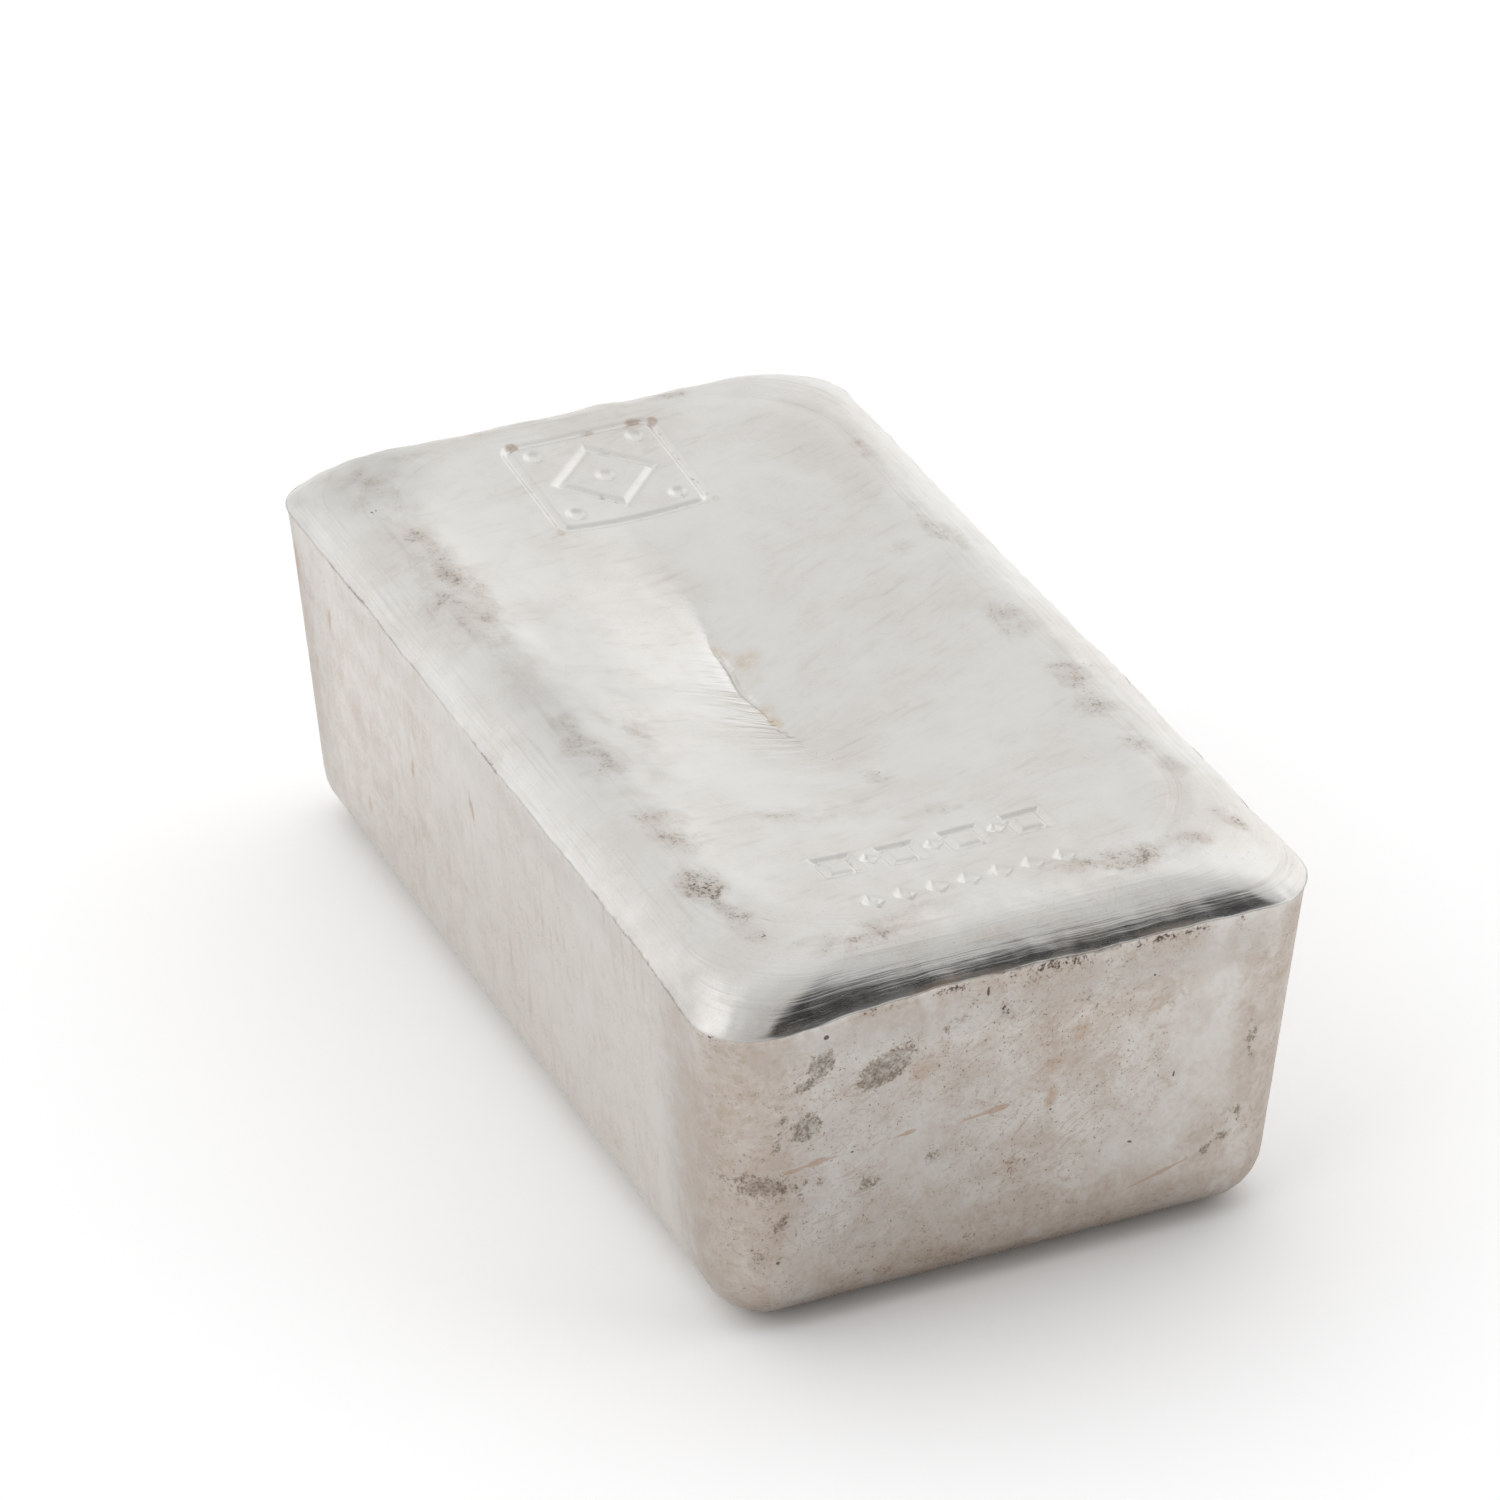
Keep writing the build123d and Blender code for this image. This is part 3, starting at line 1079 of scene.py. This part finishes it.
    def pepper(self, skin: SkinSignals, smudge: Signal, line: Signal) -> Signal:
        """Give the dark dots, in the blotches and smudges, on the walls, along the seam and in the stamps.

        Args:
            skin: what the shader works from.
            smudge: how far the skin is smudged.
            line: how dirty the seam is.

        Returns:
            How far the dots cover the skin.
        """
        dust, grain, fleck, drift, mist = skin.noise("dust", "grain", "fleck", "drift", "mist")
        end, spread = skin.masks["end"], skin.stains[StainKind.BLOTCH]
        dense = dust * 0.5 + grain * 0.35 + fleck * 0.6 + drift * 0.3 + (spread - 0.6) * 0.16
        pepper = dense.step(0.84, 1.06) * (spread + (fleck - 0.5) * 0.8).step(0.2, 0.5) * 0.72
        for layer in (
            (dust * 0.6 + grain * 0.4 + smudge * 0.12).step(0.57, 0.7) * smudge * 0.85,
            (dust * 0.8 + fleck * 0.2).step(0.62, 0.68) * mist.step(0.36, 0.54) * (0.15 + 0.85 * end),
            grain.step(0.68, 0.74) * mist.step(0.38, 0.56) * end * 0.9,
            (line + (fleck - 0.5) * 1.3).step(0.3, 0.8) * 0.6,
            skin.masks["stamp"] * fleck.step(0.55, 0.72) * 0.5,
        ):
            pepper = pepper.top(layer)
        return pepper

    def relief(self, skin: SkinSignals) -> bpy.types.NodeSocket:
        """Give the skin its finest relief: grain, brushed lines on the rim and wrinkles at the crease.

        Args:
            skin: what the shader works from.

        Returns:
            The bumped normal.
        """
        rim, crease = skin.masks["rim"], skin.masks["crease"]
        grain, stroke, broad, brushed, wrinkle = skin.noise("grain", "stroke", "broad", "brushed", "wrinkle")
        height = grain * self.grain_height + stroke * (1 - rim) * self.stroke_height + broad * self.broad_height
        height = height + rim * brushed * self.brushed_height + crease * wrinkle * self.wrinkle_height
        inputs = {"Strength": 1.0, "Distance": 1.0, "Height": height}
        return skin.board.add("ShaderNodeBump", None, inputs).outputs[0]


@dataclass(frozen=True)
class Wear:
    """What pouring, cooling and handling did to the skin; each cloud is a size, a seed and a number of octaves."""

    lump_cloud: tuple = (18.0, 3.0, 2)
    ripple_cloud: tuple = (4.5, 11.0, 3)
    nick_cloud: tuple = (1.3, 31.0, 2)
    lump_depth: float = 0.12
    ripple_depth: float = 0.05
    rim_ripple_depth: float = 0.15
    rim_nick_depth: float = 0.07
    hollow_depth: float = 0.1
    # The near rim is calmer than the others, by a share that sets in over these places along the bar
    near_rim_calm: float = 0.75
    near_rim_band: tuple[float, float] = (35.5, 39.0)
    # Heights over which the waves set in above the foot, and depths over which the hollow's own take over
    foot_band: tuple[float, float] = (0.4, 5.0)
    hollow_band: tuple[float, float] = (0.5, 5.0)
    # The seam strays in two clouds, each with a height, and dips at the near left corner
    seam_clouds: tuple = ((0.2, 9.0, 21.0, 3), (0.12, 1.6, 5.0, 2))
    seam_fade_below: float = 2.0
    seam_fade_above: float = 3.0
    dip_place: tuple[float, float] = (38.5, -20.5)
    dip_depth: float = 0.9
    dip_reach: float = 8.0
    crack_depth: float = 0.3
    crack_offset: float = 0.22
    crack_width: float = 0.2
    crack_middle: float = -3.6
    crack_length: float = 3.0

    def waves(self, points: np.ndarray, rim: np.ndarray) -> tuple[np.ndarray, np.ndarray]:
        """Give how deep the waves are.

        Args:
            points: places on the plain skin.
            rim: how far each of them is on the rim.

        Returns:
            The depth of the waves on the walls and the rim, and of those in the hollow.
        """
        clouds = (self.lump_cloud, self.ripple_cloud, self.nick_cloud)
        lumps, ripples, nicks = (waviness(points, *given) for given in clouds)
        uneven = rim * (1 - self.near_rim_calm * smooth(points[:, 0], *self.near_rim_band))
        outer = self.lump_depth * lumps + (self.ripple_depth + self.rim_ripple_depth * uneven) * ripples
        return outer + self.rim_nick_depth * uneven * nicks, self.hollow_depth * (lumps + ripples)

    def seam_wander(self, points: np.ndarray, above: np.ndarray) -> np.ndarray:
        """Give how far the skin follows the seam up or down.

        Args:
            points: places on the plain skin.
            above: their heights above the seam.

        Returns:
            A height for each point, which fades out away from the seam.
        """
        flat = points * (1, 1, 0)
        dip = self.dip_depth * bell(np.hypot(*(points[:, :2] - self.dip_place).T), self.dip_reach)
        wander = sum(height * cloud(flat, *given) for height, *given in self.seam_clouds) - dip
        below = bell(above, self.seam_fade_below)
        return wander * np.where(above < 0, below, 1 - smooth(above, 0.0, self.seam_fade_above))

    def crack(self, x: np.ndarray, flank: np.ndarray) -> np.ndarray:
        """Give how deep the crack beside the keel is, at places along the bar and away from the keel."""
        along = bell(x - self.crack_middle, self.crack_length)
        return self.crack_depth * bell(flank - self.crack_offset, self.crack_width) * along


@dataclass
class CastIngot:
    """The bar as it came out of its mould, worn, stamped and stained."""

    form: IngotForm
    finish: SilverFinish
    wear: Wear
    stamps: list[Stamp]
    # Cuts of the mesh at the stamps, and how far up a face there has to point
    fine_cuts: int = 2
    fine_facing: float = 0.5
    # Way from the seam over the rim to its crest, and how it bunches up towards the seam
    rim_way: float = 5.6
    rim_way_power: float = 1.6
    # Depths inside the crest, and heights above the seam, over which the rim's finish fades
    rim_inner_band: tuple[float, float] = (0.2, 2.4)
    rim_outer_band: tuple[float, float] = (0.1, 0.6)
    wall_band: tuple[float, float] = (-0.015, 0.0)
    seam_drop: float = 0.02
    seam_width: float = 0.32
    # The wrinkled crease along the keel: widths of its two flanks, strength of the right one, middle and length
    crease_widths: tuple[float, float] = (4.2, 2.2)
    crease_right_share: float = 0.45
    crease_middle: float = 1.0
    crease_length: float = 9.0
    # The painted highlight on the left of the keel, where its flank rounds over
    ridge_highlight_offset: float = -0.35
    ridge_highlight_width: float = 0.55
    ridge_highlight_middle: float = -6.0
    ridge_highlight_length: float = 6.0
    # How strongly the upright corners are tinted, and how much painted shade the rounded foot gets where it faces
    # down
    corner_tint_share: float = 0.85
    corner_band: tuple[float, float] = (0.1, 0.4)
    corner_top_band: tuple[float, float] = (-2.0, 1.0)
    foot_shade_share: float = 0.2
    foot_end_shade_share: float = 0.6
    foot_facing_band: tuple[float, float] = (0.12, 0.6)
    foot_end_band: tuple[float, float] = (34.0, 39.0)
    keel_tolerance: float = 0.03

    def build(self) -> bpy.types.Object:
        """Make the bar's mesh and dress it.

        Returns:
            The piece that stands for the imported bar.
        """
        mesh, on_top = self.blank()
        points = np.empty(len(mesh.vertices) * 3)
        mesh.vertices.foreach_get("co", points)
        points = points.reshape(-1, 3)
        normals = np.empty_like(points)
        mesh.vertices.foreach_get("normal", normals.ravel())
        fields = self.fields(points, on_top)
        points = self.worn(points, normals, on_top, fields)
        for kind in StainKind:
            stains = [stain.field(points, normals) for stain in STAINS if stain.kind is kind]
            fields[kind.value] = np.maximum.reduce(stains)
        # The beige tint also takes the corners' tint and the painted shade on the foot
        patina = StainKind.PATINA.value
        fields[patina] = np.maximum(fields[patina], self.corner_tint_and_foot_shade(points, normals))
        for name, values in fields.items():
            mesh.attributes.new(name, "FLOAT", "POINT").data.foreach_set("value", values.astype(np.float32))
        self.crease_edges(mesh, points, on_top)
        mesh.vertices.foreach_set("co", (points * MM).ravel())
        mesh.polygons.foreach_set("use_smooth", [True] * len(mesh.polygons))
        mesh.update()
        mesh.materials.append(self.finish.material())
        piece = placed("ingot_skin", mesh)
        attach(piece, "root")
        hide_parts("ingot")
        return piece

    def blank(self) -> tuple[bpy.types.Mesh, np.ndarray]:
        """Make the plain skin in millimetres, with a finer mesh where the stamps and the crack are.

        Returns:
            The mesh, and which of its points lie on the hollow's floor.
        """
        form = self.form
        rings = form.rings()
        grid = form.hollow_grid(rings.pop()[:, :2])
        flat = grid.reshape(-1, 2)
        heights = form.hollow_height(flat[:, 0], flat[:, 1])
        points = np.concatenate((np.concatenate(rings), np.column_stack((flat, heights))))
        mesh = bpy.data.meshes.new("ingot_skin")
        mesh.from_pydata(points, [], self.skin_faces(len(rings), grid.shape))
        work = bmesh.new()
        work.from_mesh(mesh)
        fine = set()
        for face in work.faces:
            middle = face.calc_center_median()
            if face.normal.z > self.fine_facing and any(stamp.holds(middle.x, middle.y) for stamp in self.stamps):
                fine.update(face.edges)
        edges = sorted(fine, key=lambda edge: edge.index)
        bmesh.ops.subdivide_edges(work, edges=edges, cuts=self.fine_cuts, use_grid_fill=True)
        work.to_mesh(mesh)
        work.free()
        mesh.update()
        on_top = np.arange(len(mesh.vertices)) >= len(points) - len(flat)
        return mesh, on_top

    def fields(self, points: np.ndarray, on_top: np.ndarray) -> dict[str, np.ndarray]:
        """Say where the rim, the seam, the crease, the walls, the stamps and the painted highlight beside the keel
        are.

        Args:
            points: places on the plain skin.
            on_top: which of them lie on the hollow's floor.

        Returns:
            A share, or a length in millimetres for the profile, for each point, by name.
        """
        form = self.form
        x, y, z = points.T
        above = z - form.wall_height
        inside = np.where(on_top, form.depth_inside_crest(x, y), 0.0)
        climb = np.clip(above / form.rim_height, 0, 1) ** self.rim_way_power
        flank = y - form.keel(x)
        left, right = (bell(flank, width) for width in self.crease_widths)
        crease = np.where(flank < 0, left, self.crease_right_share * right)
        crease *= bell(x - self.crease_middle, self.crease_length)
        # Painted highlight on the left flank next to the keel
        ridge_highlight = np.where(flank < 0, bell(flank - self.ridge_highlight_offset, self.ridge_highlight_width), 0.0)
        ridge_highlight *= bell(x - self.ridge_highlight_middle, self.ridge_highlight_length)
        sunk = np.maximum.reduce([stamp.sunk(x, y) * stamp.holds(x, y) for stamp in self.stamps])
        on_rim = smooth(above, *self.rim_outer_band)
        return {
            "profile": np.where(on_top, self.rim_way + inside, self.rim_way * climb),
            "rim": np.where(on_top, 1 - smooth(inside, *self.rim_inner_band), on_rim),
            "seam": np.where(on_top, 0.0, bell(above + self.seam_drop, self.seam_width)),
            "crease": np.where(on_top, crease, 0.0),
            "ridge_highlight": np.where(on_top, ridge_highlight, 0.0),
            "wall": np.where(on_top, 0.0, 1 - smooth(above, *self.wall_band)),
            "stamp": np.where(on_top, sunk, 0.0),
        }

    def worn(self, points: np.ndarray, normals: np.ndarray, on_top: np.ndarray, fields: dict) -> np.ndarray:
        """Give the plain skin its waves, knocks, crack and stamps, all inside its own bounds.

        Args:
            points: places on the plain skin.
            normals: the way it faces there.
            on_top: which points lie on the hollow's floor.
            fields: where the rim, the seam and the stamps are.

        Returns:
            The worn places.
        """
        form, wear = self.form, self.wear
        x, y, z = points.T
        outer, hollow = wear.waves(points, fields["rim"])
        knocks = sum(dent.sink(points) for dent in DENTS)
        sink = smooth(z, *wear.foot_band) * outer + knocks
        worn = points - normals * (sink * ~on_top)[:, None]
        wander = wear.seam_wander(points, z - form.wall_height)
        worn[:, 2] += np.where(on_top, 0.0, np.minimum(wander, form.top_height - z))
        inner = smooth(form.depth_inside_crest(x, y), *wear.hollow_band)
        rise = form.hollow_height(x, y) - hollow * inner - outer * (1 - inner)
        rise -= wear.crack(x, y - form.keel(x)) + knocks
        for stamp in self.stamps:
            rise -= np.where(stamp.holds(x, y), stamp.depth * stamp.sunk(x, y), 0.0)
        worn[on_top, 2] = np.minimum(rise, form.top_height)[on_top]
        return worn

    def corner_tint_and_foot_shade(self, points: np.ndarray, normals: np.ndarray) -> np.ndarray:
        """Say how far the upright corners are tinted, and how much painted shade the rounded foot gets where it
        faces down.

        Args:
            points: places on the worn skin.
            normals: the way the plain skin faces there.

        Returns:
            A share for each point.
        """
        turned = smooth(np.abs(normals[:, :2]).min(axis=1), *self.corner_band)
        below = 1 - smooth(points[:, 2] - self.form.wall_height, *self.corner_top_band)
        at_end = smooth(np.abs(points[:, 0]), *self.foot_end_band)
        # Painted shade on the rounded foot where it faces down, strongest towards the ends
        foot = smooth(-normals[:, 2], *self.foot_facing_band)
        foot *= self.foot_shade_share + self.foot_end_shade_share * at_end
        return np.maximum(self.corner_tint_share * turned * below, foot)

    def crease_edges(self, mesh: bpy.types.Mesh, points: np.ndarray, on_top: np.ndarray) -> None:
        """Keep the keel sharp where the valley is deep.

        Args:
            mesh: the bar's mesh.
            points: places on the worn skin.
            on_top: which of them lie on the hollow's floor.
        """
        form = self.form
        x, y = points[:, 0], points[:, 1]
        near = np.abs(x - form.keel_sharp_middle) < form.keel_sharp_length
        on_keel = on_top & near & (np.abs(y - form.keel(x)) < self.keel_tolerance)
        ends = np.empty(len(mesh.edges) * 2, dtype=np.int32)
        mesh.edges.foreach_get("vertices", ends)
        sharp = on_keel[ends.reshape(-1, 2)].all(axis=1)
        mesh.attributes.new("sharp_edge", "BOOLEAN", "EDGE").data.foreach_set("value", sharp)

    def skin_faces(self, ring_count: int, grid_shape: tuple) -> list[tuple]:
        """Join the rings to each other, to the grid over the hollow and to the flat of the foot.

        Args:
            ring_count: how many rings there are below the crest.
            grid_shape: rows and columns of the hollow's grid.

        Returns:
            The faces, each a tuple of point numbers.
        """
        rows, columns = grid_shape[:2]
        around = 2 * (rows - 1) + 2 * (columns - 1)
        cells = np.arange(rows * columns).reshape(rows, columns) + ring_count * around
        border = np.concatenate((cells[0, :-1], cells[:-1, -1], cells[-1, :0:-1], cells[:0:-1, 0]))
        border = np.roll(border, -(self.form.corner_steps // 2))
        loops = [np.arange(around) + ring * around for ring in range(ring_count)] + [border]
        faces = [tuple(loops[0][::-1].tolist())]
        for low, high in zip(loops, loops[1:]):
            faces.extend(zip(low.tolist(), np.roll(low, -1).tolist(), np.roll(high, -1).tolist(), high.tolist()))
        for row, after in zip(cells, cells[1:]):
            faces.extend(zip(row[:-1].tolist(), row[1:].tolist(), after[1:].tolist(), after[:-1].tolist()))
        return faces


@dataclass(frozen=True)
class SkyPatch:
    """A soft round patch of the sky, with its angles in degrees and the azimuth from +X towards +Y."""

    azimuth: float
    elevation: float
    outer: float
    inner: float
    strength: float

    def field(self, board: Board, heading: bpy.types.NodeSocket) -> Signal:
        """Say how strongly the patch shows along a heading.

        Args:
            board: the tree the nodes go on.
            heading: the way that is looked.

        Returns:
            The patch's strength inside its inner angle, 0 outside its outer one.
        """
        turn, rise = math.radians(self.azimuth), math.radians(self.elevation)
        middle = (math.cos(turn) * math.cos(rise), math.sin(turn) * math.cos(rise), math.sin(rise))
        inputs = {0: heading, 1: middle}
        facing = board.value("ShaderNodeVectorMath", {"operation": "DOT_PRODUCT"}, inputs, "Value")
        edges = (math.cos(math.radians(angle)) for angle in (self.outer, self.inner))
        return self.strength * facing.step(*edges)


@dataclass
class Studio:
    """The pale floor, the soft light round the bar and the camera."""

    photo_side: float = 1500.0
    azimuth_degrees: float = 65.66
    elevation_degrees: float = 31.65
    distance: float = 497.3
    focal_pixels: float = 7004.0
    aim_pixel: tuple = (773.6, 817.5)
    aim_height: float = 14.6
    sensor: float = 36.0
    clip_start: float = 0.01
    floor_side: float = 8000.0
    # Floor's tone as it lights the bar, and as the camera and the bar's shine see it
    floor_tone: float = 0.85
    floor_white: float = 1.7
    # Light from above, what the horizon adds to it, and the sine of the angle up to which it does
    sky_level: float = 0.97
    horizon_gain: float = 0.07
    horizon_rise: float = 0.4
    # The halo takes light away from what the bar mirrors, and the shade from what falls on matt things
    halo: SkyPatch = SkyPatch(-4.0, 28.0, 84.0, 46.0, 0.2)
    window: SkyPatch = SkyPatch(112.0, 18.0, 46.0, 16.0, 0.32)
    lamp: SkyPatch = SkyPatch(-98.0, 28.0, 42.0, 2.0, 0.46)
    shade: SkyPatch = SkyPatch(-5.0, 25.0, 52.0, 40.0, 0.9)
    # The dim panel that the near rim shows, with its angles in degrees and the share of it that is fully dim
    dark_tone: float = 0.04
    panel_azimuth: float = 12.0
    panel_elevation: float = -8.0
    panel_reach: float = 46.0
    panel_rise: float = 68.0
    panel_core: float = 0.55

    def build(self) -> None:
        """Set up the floor, the light and the camera."""
        self.add_floor()
        self.add_world()
        self.add_camera()
        bpy.context.scene.view_settings.view_transform = "Standard"

    def add_floor(self) -> None:
        """Lay a wide white floor under the bar."""
        half = self.floor_side / 2 * MM
        mesh = bpy.data.meshes.new("floor")
        corners = [(-half, -half, 0), (half, -half, 0), (half, half, 0), (-half, half, 0)]
        mesh.from_pydata(corners, [], [(0, 1, 2, 3)])
        floor = placed("floor", mesh)
        material = bpy.data.materials.new("white_floor")
        material.use_nodes = True
        board = Board(material.node_tree)
        glossy, camera, depth = board.light_path("Is Glossy Ray", "Is Camera Ray", "Diffuse Depth")
        plain, white = (
            board.add("ShaderNodeBsdfDiffuse", None, {"Color": (*[tone] * 3, 1.0)}).outputs[0]
            for tone in (self.floor_tone, self.floor_white)
        )
        direct = 1 - depth.step(0, 1)
        shader = board.add("ShaderNodeMixShader", None, {0: glossy.top(camera) * direct, 1: plain, 2: white})
        board.add("ShaderNodeOutputMaterial", None, {"Surface": shader.outputs[0]})
        mesh.materials.append(material)

    def add_world(self) -> None:
        """Light the bar from all round, with a dim panel in front of its near end as in a dark studio."""
        world = bpy.data.worlds.new("studio")
        bpy.context.scene.world = world
        world.use_nodes = True
        board = Board(world.node_tree)
        heading = board.add("ShaderNodeTexCoord").outputs["Generated"]
        x, y, rise = board.parts(heading)
        dark = self.panel(x, y, rise)
        halo, window, lamp, shade = (
            patch.field(board, heading) for patch in (self.halo, self.window, self.lamp, self.shade)
        )
        sky = self.sky_level + self.horizon_gain * (1 - rise.step(0.0, self.horizon_rise)) + window + lamp - halo
        level = sky * (1 - dark) + self.dark_tone * dark
        glossy, camera = board.light_path("Is Glossy Ray", "Is Camera Ray")
        level = (level * glossy + (1 - shade) * (1 - glossy)) * (1 - camera) + camera
        light = board.add("ShaderNodeBackground", None, {"Strength": level})
        board.add("ShaderNodeOutputWorld", None, {"Surface": light.outputs[0]})

    def panel(self, x: Signal, y: Signal, z: Signal) -> Signal:
        """Say how far a heading points into the dim panel that the near rim shows.

        Args:
            x: part of the heading along the bar.
            y: part of it across the bar.
            z: part of it upwards.

        Returns:
            A share from 0 to 1.
        """
        reach, rise = math.radians(self.panel_reach), math.radians(self.panel_rise)
        turn = (y.math("ARCTAN2", y, x) - math.radians(self.panel_azimuth)) * (1 / reach)
        tilt = (z.math("ARCSINE", z) - math.radians(self.panel_elevation)) * (1 / rise)
        return 1 - (turn * turn + tilt * tilt).step(self.panel_core ** 2, 1)

    def add_camera(self) -> None:
        """Stand the camera where the photograph was taken from."""
        azimuth, elevation = math.radians(self.azimuth_degrees), math.radians(self.elevation_degrees)
        level = math.cos(elevation)
        away = Vector((math.sin(azimuth) * level, -math.cos(azimuth) * level, math.sin(elevation)))
        upright = Vector((0, 0, 1))
        right = upright.cross(away).normalized()
        up = away.cross(right)
        middle = self.photo_side / 2
        aim_right = (self.aim_pixel[0] - middle) / self.focal_pixels
        aim_up = (middle - self.aim_pixel[1]) / self.focal_pixels
        ahead = (-away - right * aim_right - up * aim_up).normalized()
        right = ahead.cross(upright).normalized()
        up = right.cross(ahead)
        place = (Vector((0, 0, self.aim_height)) + away * self.distance) * MM
        data = bpy.data.cameras.new("camera")
        data.sensor_width = self.sensor
        data.lens = self.focal_pixels / self.photo_side * self.sensor
        data.clip_start = self.clip_start
        camera = placed("camera", data)
        turn = Matrix((right, up, -ahead)).transposed().to_4x4()
        camera.matrix_world = Matrix.Translation(place) @ turn
        bpy.context.scene.camera = camera


def main() -> None:
    """Build the bar and the studio, and report each piece."""
    logging.basicConfig(level=logging.INFO)
    stamps = [
        FrameStamp((-35.0, -7.6), (-21.4, 6.2), depth=0.25, line=0.7, slope=0.34),
        BorderStamp((25.4, -9.6), (35.0, 8.0), depth=0.34, slope=0.32),
        # Bare, only for the finer mesh round the crack
        Stamp((-8.6, -2.4), (1.6, 0.2)),
    ]
    piece = CastIngot(IngotForm(), SilverFinish(), Wear(), stamps).build()
    LOG.info("%s: %d faces", piece.name, len(piece.data.polygons))
    Studio().build()
    LOG.info("studio: floor, light and camera")


if __name__ == "__main__":
    main()
